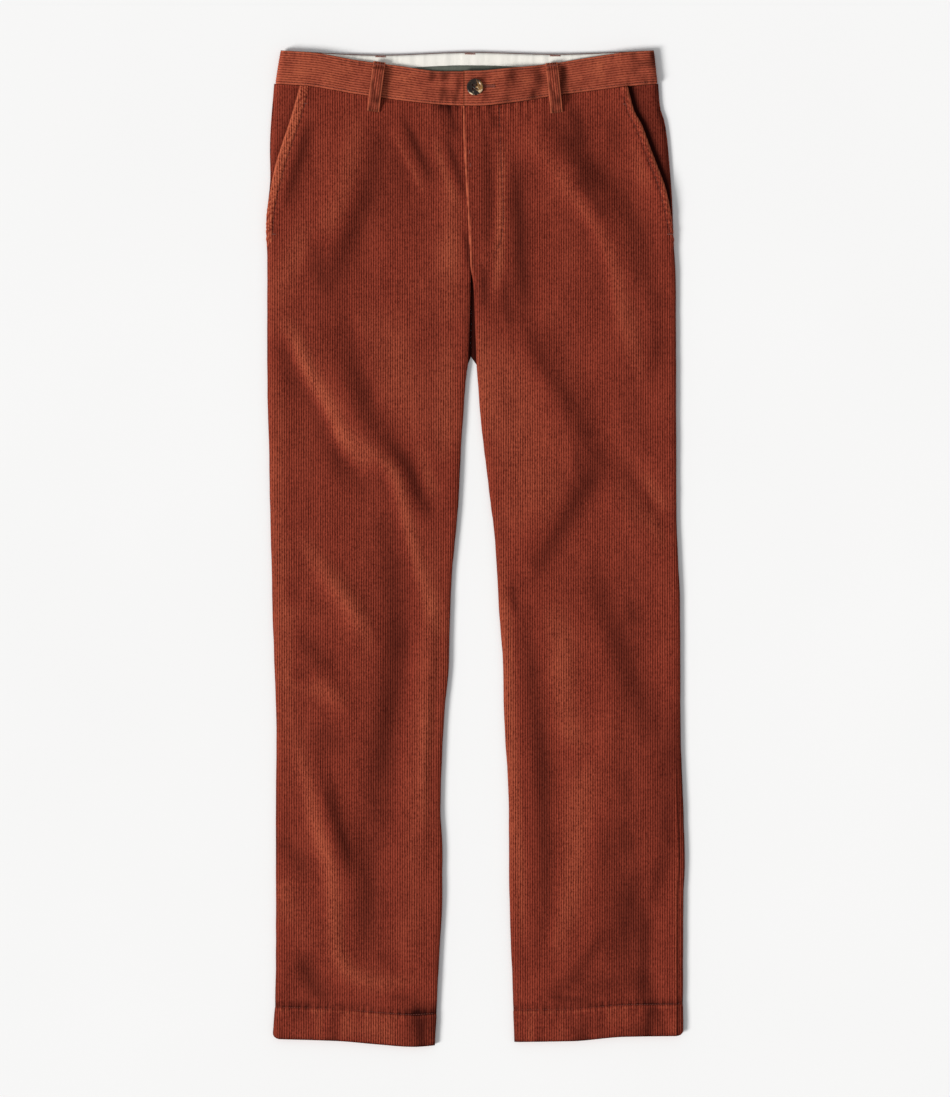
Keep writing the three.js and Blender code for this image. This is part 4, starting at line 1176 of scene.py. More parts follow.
def cloth_piece(
    name: str, sheets: tuple[Cloth, Cloth], material: bpy.types.Material, keep: int = 4
) -> bpy.types.Object:
    """Makes a closed piece of cloth.

    Args:
        name: the object's name.
        sheets: its outer and inner sheets.
        material: its finish.
        keep: one column in this many is kept on the inner sheet.

    Returns:
        The new object.
    """
    maker = MeshMaker(name)
    maker.add_wall(*sheets, keep=keep)
    return maker.make(material)


def settle(piece: bpy.types.Object, slot: str, *nodes: str) -> None:
    """Puts a finished piece on the garment's body.

    Args:
        piece: the new object.
        slot: the name of a material slot, which is not used.
        nodes: the frame's nodes that it stands for.
    """
    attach(piece, BODY)
    if nodes:
        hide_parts(*nodes)
    LOG.info("%s: %d faces", piece.name, len(piece.data.polygons))


@dataclass(frozen=True)
class Pucker:
    """How a line of stitching gathers the cloth: small waves along it, which fade with distance from it.
    tone is the painted light and shade on the waves, and line the painted shade along the stitch line.
    """

    pitch: float
    rise: float
    reach: float
    tone: float
    line: float = 0.8


@dataclass(frozen=True)
class Rim:
    """A pocket mouth's stitched rim: its width, its painted highlight, and how strong the painted light and
    shade on its beads is.
    """

    width: float
    tone: float
    beads: float


@dataclass
class FrontPanel:
    """A front, from the pocket mouth and side seam to the fly and inseam, with its turned-up hem."""

    side: Side
    wardrobe: Wardrobe
    pattern: Pattern = field(default_factory=Pattern)
    stitch_depth: float = 0.6
    stitch_width: float = 0.9
    fly_round: float = 1.2
    rims = {
        Side.LEFT: Rim(width=12.0, tone=0.95, beads=1.3),
        Side.RIGHT: Rim(width=8.0, tone=0.3, beads=0.5),
    }
    bead_pitch: float = 6.4
    bead_rise: float = 0.45
    seam_inset: float = 5.8
    uneven: float = 0.16
    mottled: float = 0.1
    edge_reach: float = 3.5
    gather_pitch: float = 9.5
    gather_rise: float = 0.35
    gather_tone: float = 0.4
    hem_step: float = 0.4
    fly_wave: float = 3.1
    puckers = {
        "mouth": Pucker(pitch=6.4, rise=0.25, reach=6, tone=0.3, line=0.6),
        "hem": Pucker(pitch=9.5, rise=0.32, reach=7, tone=0.3),
        "fly": Pucker(pitch=8.0, rise=0.35, reach=7, tone=0.32, line=0.3),
    }

    def plan(self, nominal: Array) -> tuple[Array, Array, Array, Array, Array]:
        """Where a row's cloth starts, lies flat and ends, from the side seam towards the centre.

        Args:
            nominal: the rows.

        Returns:
            The start, where its flat stretch starts and ends, how much of an inseam it has, and the
            radius at its inner edge.
        """
        p, sign = self.pattern, self.side.value
        flat_out = -sign * p.side_edge[self.side](nominal) + p.roll
        mouth = np.where(nominal < p.pocket_end, p.mouth[self.side](nominal), 0)
        start = flat_out - p.roll * math.pi / 2 + mouth
        shift = p.band_lower(p.fly_edge(nominal)) - p.top_row
        deep = nominal + shift * (1 - ease(nominal, p.top_row, p.waist_reach))
        lap = p.underlap * ease(deep, 236, 205) if self.side is Side.LEFT else 0 * deep
        fly = -sign * p.fly_edge(deep) + lap
        edge = np.where(deep < p.fork, fly, -sign * p.inseam[self.side](deep))
        legs = ease(deep, 248, 285)
        round_edge = self.fly_round + (p.roll - self.fly_round) * legs
        flat_in = edge - round_edge * np.where(legs > 0, 1, 0.6)
        return start, flat_out, flat_in, legs, round_edge

    def sheets(self) -> tuple[Cloth, Cloth]:
        """The panel's outer and inner sheets.

        Returns:
            The outer sheet and the inner one.
        """
        p, sign = self.pattern, self.side.value
        below_pocket, above_hem = p.pocket_end + 10, 1086
        stops = ((p.top_row, below_pocket, 2.0), (below_pocket, above_hem, 8.5), (above_hem, p.hem_row, 2.0))
        rows = [
            np.linspace(low, high, round((high - low) / step), endpoint=False) for low, high, step in stops
        ]
        nominal = np.concatenate([*rows, [p.hem_row]])[:, None]
        start, flat_out, flat_in, legs, radius = self.plan(nominal)
        end = flat_in + radius * math.pi / 2
        q = p.columns(start, end)
        level, out_angle, in_angle, plan = p.bend(q, flat_out, flat_in, radius)
        x = -sign * plan
        drop = p.row_drop(self.side, x, nominal, plan - (flat_out - p.roll))
        top, tone = p.front_surface(self.side, -sign * level, drop)
        base = p.seam_height + p.seam / 2
        fall = (top - base) * legs + 0.9 * (1 - legs)
        z = top - (top - base) * (1 - np.sin(out_angle)) - fall * (1 - np.sin(in_angle))
        normal_q = np.cos(in_angle) - np.cos(out_angle)
        normal_z = np.sin(out_angle) * np.sin(in_angle)
        across = -sign * q
        relief, sewn_tone, wear = self.relief(x, drop, across, q - start, end - q)
        thick = np.where(nominal > p.hem_row - p.hem_depth - 2, p.hem_cloth, p.cloth)
        tone = tone + sewn_tone
        outer = Cloth(x - sign * normal_q * relief, drop, z + normal_z * relief, across, drop, tone, wear)
        inner = Cloth(x + sign * normal_q * thick, drop, z - normal_z * thick, across, drop)
        return outer, inner

    def stitch_routes(self) -> dict[str, Route]:
        """The panel's lines of stitching.

        Returns:
            Each line's route, by its name.
        """
        p = self.pattern
        rows = np.linspace(p.top_row + 12, p.pocket_end - 6, 9)
        start, *_ = self.plan(rows)
        across = -self.side.value * (start + self.rims[self.side].width - 0.4)
        mouth = Route(np.stack([across, p.row_drop(self.side, across, rows, p.roll)], 1))
        edges = sorted((p.side_edge[self.side](1100), p.inseam[self.side](1100)))
        places = np.linspace(edges[0] + 3, edges[1] - 3, 8)
        hem = Route(np.stack([places, p.hem[self.side](places) - p.hem_depth + 1.0], 1))
        routes = {"mouth": mouth, "hem": hem}
        if self.side is Side.RIGHT:
            places = ((26.5, 66), (28.5, 120), (31.5, 190), (29.5, 215), (22, 234), (9, 245), (-3.5, 248))
            routes["fly"] = Route(places, step=3)
        return routes

    def relief(self, x: Array, drop: Array, across: Array, from_mouth: Array, from_end: Array) -> tuple:
        """What stands out of the cloth's plain surface.

        Args:
            x: the places' x.
            drop: the places' drop.
            across: the places across the cloth.
            from_mouth: how far they lie from the outer edge, along the cloth.
            from_end: how far they lie from the inner edge, along the cloth.

        Returns:
            The relief, the tone, which is random mottling with painted highlight and shade on the puckers,
            rim, gathers, hem, seams and edges, and how far each place is rubbed.
        """
        p = self.pattern
        ribs = p.wale(across) * (1 + 0.3 * NOISE(across / 5, drop / 16))
        relief = ribs + self.uneven * NOISE(x / 14 + 40, drop / 19)
        tone = self.mottled * NOISE(x / 22 + 70, drop / 34)
        for name, route in self.stitch_routes().items():
            away, along = route.near(x, drop, 16)
            place = along * route.length
            pucker = self.puckers[name]
            ripple = np.sin(math.tau * place / pucker.pitch + 2.4 * NOISE(place / 11, away * 0 + 3))
            ripple = ripple * (0.7 + 0.5 * NOISE(place / 17 + 9, away * 0 + 31))
            near = bell(away, pucker.reach)
            line = bell(away, self.stitch_width)
            relief = relief + pucker.rise * ripple * near - self.stitch_depth * line
            # painted light and shade on the puckers' waves, and painted shade along the stitch line
            tone = tone + pucker.tone * ripple * near - pucker.line * line
        at_mouth = ease(drop, p.pocket_end + 12, p.pocket_end)
        in_leg = ease(drop, p.crotch - 60, p.crotch)
        # painted shadow along the outer edge below the pocket, and along the inseam
        tone = tone - 0.85 * bell(from_mouth, self.edge_reach) * (1 - at_mouth)
        tone = tone - 0.6 * bell(from_end, self.edge_reach) * in_leg
        edge = bell(from_mouth, 1.1) * at_mouth
        rim = self.rims[self.side]
        rope = ease(from_mouth, 0.4, 2.6) * ease(from_mouth, rim.width, rim.width - 2.8) * at_mouth
        slanted = drop + 0.7 * from_mouth
        beads = np.sin(math.tau * slanted / self.bead_pitch + 2.6 * NOISE(drop / 9, 0 * x + 17))
        relief = relief + rope * (0.7 + self.bead_rise * beads) - 0.9 * edge
        # painted highlight along the raised rim, with painted light and shade on its beads
        tone = tone + rope * (rim.tone + rim.beads * beads)
        wear = 0.9 * bell(from_mouth - 1.3, 1.2) * at_mouth
        below_seam = drop - p.band_lower(x)
        gather = np.sin(math.tau * x / self.gather_pitch + 4 * NOISE(x / 13 + 5, drop / 50))
        gather = gather * np.exp(-below_seam / 15)
        gather = gather * (0.55 + 0.7 * NOISE(x / 24 + 81, 0 * x + 12))
        relief = relief + self.gather_rise * gather
        # painted light and shade on the gathers, and painted shade just below the waist seam
        tone = tone + self.gather_tone * gather - 0.35 * bell(below_seam, 2.2)
        in_hem = drop - p.hem[self.side](x) + p.hem_depth - 1
        relief = relief + self.hem_step * ease(in_hem, 0.2, 3)
        # painted highlight below the hem's step, painted shade above it and at the hem's edge, and random
        # tone in the hem
        tone = tone + 0.5 * bell(in_hem - 2.6, 1.6) - 0.35 * bell(in_hem + 3, self.edge_reach)
        tone = tone + 0.45 * NOISE(x / 9 + 33, drop / 60) * ease(in_hem, 0, 4)
        tone = tone - 0.6 * bell(p.hem_depth - in_hem, self.edge_reach)
        if self.side is Side.RIGHT:
            at_fly = ease(drop, p.fly_end + 16, p.fly_end + 6)
            waves = np.sin(drop / self.fly_wave + 2.5 * NOISE(drop / 13, 0 * x + 44))
            relief = relief + (0.4 + 0.14 * waves) * bell(from_end, 3) * at_fly
            wear = wear + (0.9 + 0.3 * waves) * bell(from_end - 1.3, 1.0) * at_fly
            # painted shade beside the fly's edge
            tone = tone - 0.3 * bell(from_end - 6.5, 2.4) * at_fly * (1 + waves) / 2
            inset = p.side_edge[self.side](drop) - x
            at_seam = ease(drop, 790, 900)
            seam = bell(inset - self.seam_inset, 1.1) * at_seam
            ridge = bell(inset - self.seam_inset - 2.6, 1.3) * at_seam
            relief = relief - 0.7 * seam + 0.2 * ridge
            # painted shade in the side seam, painted highlight on the ridge beside it
            tone = tone - 0.8 * seam + 0.4 * ridge
        return relief, tone, wear

    def surface(self, x: Array, drop: Array, lift: float = 0.0) -> Array:
        """The height of the ribs' crests at places on the flat front."""
        p = self.pattern
        return p.front_height(self.side, x, drop) + 0.8 * p.wale_rise + lift

    def build(self) -> None:
        word = self.side.name.lower()
        piece = cloth_piece(f"leg_front_{word}", self.sheets(), self.wardrobe.corduroy, keep=8)
        settle(piece, "corduroy", f"front_{word}")


@dataclass
class BackPanel:
    """A back, which lies on the floor and rounds up to the side seam and the inseam."""

    side: Side
    wardrobe: Wardrobe
    pattern: Pattern = field(default_factory=Pattern)
    groove: float = 0.3
    seam: float = 0.03

    def sheets(self) -> tuple[Cloth, Cloth]:
        """The panel's outer sheet, which faces the floor, and its inner one.

        Returns:
            The outer sheet and the inner one.
        """
        p, sign = self.pattern, self.side.value
        nominal = np.linspace(40, p.hem_row, 110)[:, None]
        flat_out = -sign * p.side_edge[self.side](nominal) + p.roll
        seat = nominal <= p.crotch
        middle = -sign * (p.centre_back + sign * self.seam)
        edge = np.where(seat, middle, -sign * p.inseam[self.side](nominal))
        legs = np.where(seat, 0, ease(nominal, p.crotch, p.crotch + 17))
        radius = np.where(seat, 0.5, p.roll)
        flat_in = edge - radius
        q = p.columns(flat_out - p.roll * math.pi / 2, flat_in + radius * math.pi / 2)
        _, out_angle, in_angle, plan = p.bend(q, flat_out, flat_in, radius)
        x = -sign * plan
        shift = (p.back_edge(x) + p.back_band_depth + p.seam - 40) * (1 - ease(nominal, 60, 200))
        drop = nominal + shift + p.hem_shift(self.side, x, nominal, plan - (flat_out - p.roll))
        floor = p.back_lift * ease(drop, p.back_edge(x) + 84, p.back_edge(x) + 54)
        base = p.seam_height - p.seam / 2
        rise = (base - floor) * (1 - np.sin(out_angle) + (1 - np.sin(in_angle)) * legs)
        thick = np.where(nominal > p.hem_row - p.hem_depth - 2, p.hem_cloth, p.cloth)
        turn = np.cos(in_angle) * legs - np.cos(out_angle)
        across = -sign * q
        cut = self.groove - self.groove / p.wale_rise * p.wale(across)
        inner_z = np.minimum(floor + rise + thick * np.sin(out_angle) * np.sin(in_angle), base + 0 * x)
        # painted shade in the gap between the legs, on the inner sheet that shows there
        shade = -1.3 * np.exp(-(((x + 4) / 18) ** 4)) * ease(drop, 225, 262) * ease(drop, 400, 364)
        tone = p.front_surface(self.side, x, drop)[1]
        # the floor side takes the creases' painted highlight and shade, reversed and weaker
        outer = Cloth(x, drop, floor + rise + cut * np.sin(out_angle), across, drop, -0.6 * tone)
        inner = Cloth(x + sign * turn * thick, drop, inner_z, across, drop, shade)
        return outer, inner

    def build(self) -> None:
        word = self.side.name.lower()
        piece = cloth_piece(f"seat_back_{word}", self.sheets(), self.wardrobe.corduroy)
        settle(piece, "corduroy", f"back_{word}")


@dataclass
class PocketFacing:
    """The corduroy behind a pocket mouth, one ply below the front."""

    side: Side
    wardrobe: Wardrobe
    pattern: Pattern = field(default_factory=Pattern)
    overlap: float = 14.0

    def build(self) -> None:
        p, sign, word = self.pattern, self.side.value, self.side.name.lower()
        below = p.cloth + 2 * p.seam
        nominal = np.linspace(p.top_row, p.pocket_end - 4, 60)[:, None]
        roll = p.roll - below
        flat_out = -sign * p.side_edge[self.side](nominal) + p.roll
        start = flat_out - roll * math.pi / 2
        reach = p.mouth[self.side](nominal) + self.overlap - p.roll * (math.pi / 2 - 1)
        end = flat_out - p.roll + np.maximum(reach, p.roll + 8)
        q = p.columns(start, end)
        angle = math.pi / 2 - np.maximum(flat_out - q, 0) / roll
        plan = np.maximum(q, flat_out) - roll * np.cos(angle)
        x = -sign * plan
        drop = p.row_drop(self.side, x, nominal, p.roll + 0 * x)
        base = p.seam_height + p.seam / 2
        z = base + (p.plain_height(drop) - below - base) * np.sin(angle)
        across = -sign * q
        hidden = ease(q, end - self.overlap - 4, end - self.overlap - 1)
        ribs = p.wale(across) * (1 - hidden)
        # painted shade: the right facing is darker all over, and both darken towards the mouth, which the
        # front's edge shades
        level, shadow = (0.0, 0.4) if self.side is Side.LEFT else (-0.5, 1.2)
        tone = level - shadow * bell(end - self.overlap - q, 7)
        outer = Cloth(x + sign * np.cos(angle) * ribs, drop, z + np.sin(angle) * ribs, across, drop, tone)
        inner = Cloth(x - sign * np.cos(angle) * p.cloth, drop, z - np.sin(angle) * p.cloth, across, drop)
        piece = cloth_piece(f"pocket_cloth_{word}", (outer, inner), self.wardrobe.corduroy)
        settle(piece, "corduroy", f"pocket_facing_{word}")


@dataclass
class FrontBand:
    """Half of the front waistband, with its ribs along it and its edges stitched."""

    side: Side
    wardrobe: Wardrobe
    pattern: Pattern = field(default_factory=Pattern)
    ribs: int = 14
    edge_stitch: float = 2.4
    slant: float = 0.18
    gather_pitch: float = 7.6
    gather_reach: float = 8.0
    gather_rise: float = 0.35
    gather_tone: float = 0.4
    stitch_depth: float = 0.4
    edge_depth: float = 0.9
    lighter = {Side.LEFT: 0.34, Side.RIGHT: 0.16}

    def edges(self, x: Array) -> tuple[Array, Array]:
        """The drop of the band's upper edge and of its lower seam."""
        return self.pattern.band_upper(x), self.pattern.band_lower(x)

    def sheets(self) -> tuple[Cloth, Cloth]:
        """The band's outer and inner sheets, with a row for each station along it.

        Returns:
            The outer sheet and the inner one.
        """
        p, sign = self.pattern, self.side.value
        inner_end = p.fly_edge(0) + (p.band_underlap if self.side is Side.LEFT else 0)
        flat_end = p.band_ends[self.side][1] - sign * p.band_roll
        x, angle, lean = p.band_line(self.side, inner_end, int(abs(flat_end - inner_end) / 2.5))
        u = np.linspace(0, 1, self.ribs * WALE_COLUMNS + 1)[None, :]
        upper, lower = self.edges(x)
        depth = lower - upper
        drop = upper + depth * u
        place = x + lean * (1 - u)
        base = p.band_seam_height + p.seam / 2
        height = p.band_height(self.side, np.clip(x, *sorted((flat_end, inner_end))))
        across = (u - 0.5) * self.ribs * p.wale_pitch + p.wale_pitch / 2
        ribs = p.wale(across) * (1 + 0.2 * NOISE(x / 25 + 7, across / 8))
        below_top, above_seam = depth * u, depth * (1 - u)
        from_end = np.abs(x - inner_end)
        relief = ribs + 0.1 * NOISE(x / 12 + 90, drop / 9)
        tone = 0.5 * NOISE(x / 13 + 3, drop / 8) + 0.35 * NOISE(x / 5 + 31, drop / 18)
        tone = tone + self.lighter[self.side]
        for away, seed in ((below_top, 5), (above_seam, 15)):
            ripple = np.sin(math.tau * x / self.gather_pitch + 3 * NOISE(x / 10, 0 * u + seed))
            ripple = ripple * (0.6 + 0.7 * NOISE(x / 21 + seed, 0 * u + 51))
            near = bell(away, self.gather_reach)
            relief = relief + self.gather_rise * ripple * near
            # painted light and shade on the gathers
            tone = tone + self.gather_tone * ripple * near
            line = bell(away - self.edge_stitch, 0.7)
            relief = relief - self.stitch_depth * line - self.edge_depth * bell(away, 0.9)
            # painted shade along the stitch line
            tone = tone - 0.25 * line
        # painted highlight and shade in slanted bands across the band, the dark ones also sunk
        for middle, width, lighter in BAND_PAINTED_SHADING:
            share = bell(x + self.slant * (drop - 40) - middle, width)
            tone = tone + lighter * share
            relief = relief + 0.35 * min(lighter, 0) * share
        relief = relief - 0.4 * bell(from_end, 0.8)
        # painted highlight just inside the band's inner end
        tone = tone + 0.8 * bell(from_end - 1.2, 1.3)
        wear = 0.7 * bell(below_top, 1.8) + 0.35 * bell(above_seam, 1.8)
        wear = wear + 1.1 * bell(from_end - 1, 1.2)
        z = base + (height - base) * np.sin(angle)
        out = sign * np.cos(angle)
        outer = Cloth(place + out * relief, drop, z + np.sin(angle) * relief, across, x, tone, wear)
        inner = Cloth(place - out * p.band, drop, z - np.sin(angle) * p.band, across, x)
        return outer, inner

    def build(self) -> None:
        word = self.side.name.lower()
        piece = cloth_piece(f"band_front_{word}", self.sheets(), self.wardrobe.band)
        settle(piece, "waistband_corduroy", f"waistband_front_{word}")


@dataclass
class BackBand:
    """Half of the back waistband, seamed at the centre back."""

    side: Side
    wardrobe: Wardrobe
    pattern: Pattern = field(default_factory=Pattern)
    ribs: int = 14
    groove: float = 0.25

    def build(self) -> None:
        p, sign, word = self.pattern, self.side.value, self.side.name.lower()
        x, angle, lean = p.band_line(self.side, p.centre_back + sign * p.seam / 2, 60)
        u = np.linspace(0, 1, self.ribs * WALE_COLUMNS + 1)[None, :]
        drop = p.back_edge(x) + p.back_band_depth * u
        place = x + lean * (1 - u)
        base = p.band_seam_height - p.seam / 2
        across = (u - 0.5) * self.ribs * p.wale_pitch + p.wale_pitch / 2
        cut = self.groove - self.groove / p.wale_rise * p.wale(across)
        low = base - (base - p.back_lift) * np.sin(angle)
        high = base - (base - p.back_lift - p.back_band) * np.sin(angle)
        outer = Cloth(place, drop, low + cut * np.sin(angle), across, x)
        inner = Cloth(place - sign * p.back_band * np.cos(angle), drop, high, across, x)
        piece = cloth_piece(f"band_back_{word}", (outer, inner), self.wardrobe.band)
        settle(piece, "waistband_corduroy", f"waistband_back_{word}")


@dataclass
class BandStrip:
    """A strip inside the back waistband: its lining, or the tape on it."""

    name: str
    slot: str
    node: str
    start: float
    depth: float
    floor: float
    thick: float
    tuck: float
    pattern: Pattern = field(default_factory=Pattern)
    left: float = -216.0
    right: float = 194.0

    def build(self, material: bpy.types.Material, rests_on: str) -> None:
        """Args:
            material: its finish.
            rests_on: the piece below it, which is not used.
        """
        p = self.pattern
        x = np.linspace(self.left, self.right, 280)[:, None]
        u = np.linspace(0, 1, 15)[None, :]
        drop = p.back_edge(x) + self.start + self.depth * u
        tucks = NOISE(x / 7 + 20, 0.7 * u) + 0.6 * NOISE(x / 3.2 + 60, 1.1 * u)
        rounded = bell(u * self.depth, 0.7)
        top = self.floor + self.thick + self.tuck * tucks - 0.5 * self.thick * rounded
        outer = Cloth(x, drop, top, x, drop)
        inner = Cloth(x, drop, self.floor, x, drop)
        piece = cloth_piece(self.name, (outer, inner), material, keep=3)
        settle(piece, self.slot, self.node)


@dataclass
class BeltLoop:
    """A front belt loop, which stands off the waistband between its sewn ends."""

    side: Side
    top: tuple[float, float]
    end: tuple[float, float]
    panel: FrontPanel
    wardrobe: Wardrobe
    width: float = 14.0
    cloth: float = 1.6
    bridge: float = 4.5
    sewn: float = 6.0
    ramp: float = 4.0
    hem: float = 2.6
    tack: float = 3.2
    ribs: int = 5

    def along(self, s: Array) -> tuple[Array, Array]:
        """The place of the loop's middle line."""
        _, ux, ud = self.run()
        return self.top[0] + ux * s, self.top[1] + ud * s

    def run(self) -> tuple[float, float, float]:
        """The loop's length and direction.

        Returns:
            The length, and the unit vector's x and drop.
        """
        dx, dd = self.end[0] - self.top[0], self.end[1] - self.top[1]
        length = math.hypot(dx, dd)
        return length, dx / length, dd / length

    def under(self, s: Array) -> Array:
        """The height of the loop's underside.

        Args:
            s: distances from the loop's top, in order.

        Returns:
            The height at each.
        """
        p = self.panel.pattern
        length, *_ = self.run()
        x, drop = self.along(s)
        standing = ease(s, self.sewn, self.sewn + self.ramp)
        standing = standing * ease(s, length - self.sewn, length - self.sewn - self.ramp)
        on_band = drop < p.band_lower(x)
        panel = p.front_height(self.side, x, drop) + 0.5
        band = np.where(on_band | (standing > 0), p.band_height(self.side, x), 0)
        below = np.maximum(band, panel * ~on_band)
        soft = below
        for _ in range(3):
            soft = np.maximum(below, (soft + np.roll(soft, 1) + np.roll(soft, -1)) / 3)
        return soft + p.wale_rise + p.seam + (self.bridge - p.seam) * standing

    def build(self) -> None:
        p, word = self.panel.pattern, self.side.name.lower()
        length, ux, ud = self.run()
        s = np.linspace(0, length, 90)
        down = s[:, None]
        under = self.under(s)[:, None]
        x0, drop0 = (line[:, None] for line in self.along(s))
        u = np.linspace(-0.5, 0.5, self.ribs * 6 + 1)[None, :]
        side = self.width * u
        across = side + p.wale_pitch / 2
        edge = self.width / 2 - np.abs(side)
        ends = np.minimum(s, length - s)[:, None]
        relief = p.wale(across) * (1.25 + 0.2 * NOISE(across / 4, down / 12))
        # darker all over with random tone, painted shade along the folded hems, and painted shade at the
        # tucked-under ends
        tone = 0.5 * NOISE(across / 4 + 9, down / 9) - 0.35 - 0.6 * bell(edge - self.hem, 0.7)
        tone = tone - 0.7 * ease(ends, 3.5, 0.5)
        relief = relief - 0.9 * bell(edge, 1.0) - 0.35 * bell(edge - self.hem, 0.6)
        relief = relief - 0.7 * bell(ends, 1.2)
        relief = relief - 0.5 * bell(down - self.tack, 1.2)
        wear = 0.9 * bell(edge - 0.6, 1.0) + 0.5 * bell(ends, 1.5)
        x, drop = x0 + ud * side, drop0 - ux * side
        outer = Cloth(x, drop, under + self.cloth + relief, across, down, tone, wear)
        inner = Cloth(x, drop, under, across, down)
        piece = cloth_piece(f"loop_front_{word}", (outer, inner), self.wardrobe.band, keep=6)
        settle(piece, "waistband_corduroy", f"belt_loop_front_{word}")


@dataclass
class BackLoop:
    """A back belt loop, pressed flat between the floor and the waistband."""

    word: str
    x: float
    wardrobe: Wardrobe
    pattern: Pattern = field(default_factory=Pattern)
    width: float = 13.0
    cloth: float = 1.4
    tail: float = 12.0

    def build(self) -> None:
        p = self.pattern
        length = p.back_band_depth + self.tail
        s = np.linspace(0, length, 24)[:, None]
        u = np.linspace(-0.5, 0.5, 31)[None, :]
        across = self.width * u + p.wale_pitch / 2
        cut = 0.25 - 0.5 * p.wale(across)
        x, drop = self.x + self.width * u, p.back_edge(self.x) + s
        outer = Cloth(x, drop, cut, across, s)
        inner = Cloth(x, drop, self.cloth, across, s)
        piece = cloth_piece(f"loop_back_{self.word}", (outer, inner), self.wardrobe.band, keep=5)
        settle(piece, "waistband_corduroy", f"belt_loop_back_{self.word}")


@dataclass
class Button:
    """A four-hole button of horn, with a raised rim and a dished middle."""

    wardrobe: Wardrobe
    pattern: Pattern = field(default_factory=Pattern)
    radius: float = 9.5
    thick: float = 3.0
    rounding: float = 1.1
    hole: float = 1.15
    hole_foot: float = 1.9
    spread: float = 2.2

    def height(self, r: Array) -> Array:
        """The height of the button's face above its seat.

        Args:
            r: distances from its middle.

        Returns:
            The height at each.
        """
        rim = self.radius - r
        dish = self.thick - 0.9 * ease(rim, 1.6, 3.4) + 0.25 * ease(rim, 4.2, 7.5)
        return dish - self.rounding * (1 - np.sqrt(1 - np.clip(1 - rim / self.rounding, 0, 1) ** 2))

    def turn(
        self, maker: MeshMaker, x: float, drop: float, radii: Array, heights: Array, count: int
    ) -> None:
        """Adds a turned shape that stands on the button's seat.

        Args:
            maker: the mesh that it is added to.
            x: the x of its middle.
            drop: the drop of its middle.
            radii: its outline's distances from the middle.
            heights: its outline's heights above the seat.
            count: how many outlines stand round it, of which the last is the first again.
        """
        angle = np.linspace(0, math.tau, count)[:, None]
        ring, z = radii[None, :], self.seat() + heights[None, :]
        shape = Cloth(x + ring * np.cos(angle), drop - ring * np.sin(angle), z, 0, 0)
        maker.add_grid(maker.add_points(shape.points()))

    def seat(self) -> float:
        """The height that the button sits at."""
        p = self.pattern
        return float(p.band_height(Side.RIGHT, np.array(p.button_x))) + p.wale_rise + p.seam

    def build(self) -> None:
        """Makes the button: a turned body with its holes cut through."""
        p = self.pattern
        face = np.linspace(0, self.radius - self.rounding, 18)
        rim = self.radius - self.rounding * np.linspace(0.9, 0, 8) ** 2
        upper = np.concatenate([face, rim])
        foot = [self.radius, self.radius - 0.6, self.radius - 2.0, 0.0]
        radii = np.concatenate([upper, foot])
        heights = np.concatenate([self.height(upper), [1.3, 0.4, 0.0, 0.0]])
        maker = MeshMaker("coat_button")
        self.turn(maker, p.button_x, p.button_drop, radii, heights, count=73)
        piece = maker.make(self.wardrobe.horn)
        drill = MeshMaker("drill")
        radii = np.array([0, self.hole * 1.35, self.hole, self.hole, 0])
        heights = np.array([4.0, 4.0, self.hole_foot, -1.0, -1.0])
        for i in (-1, 1):
            for k in (-1, 1):
                x, drop = p.button_x + i * self.spread, p.button_drop + k * self.spread
                self.turn(drill, x, drop, radii, heights, count=21)
        cutter = drill.make(self.wardrobe.horn)
        cut = piece.modifiers.new("holes", "BOOLEAN")
        cut.operation, cut.object, cut.solver = "DIFFERENCE", cutter, "EXACT"
        graph = bpy.context.evaluated_depsgraph_get()
        piece.data = bpy.data.meshes.new_from_object(piece.evaluated_get(graph))
        piece.modifiers.clear()
        bpy.data.objects.remove(cutter)
        settle(piece, "button", "button")


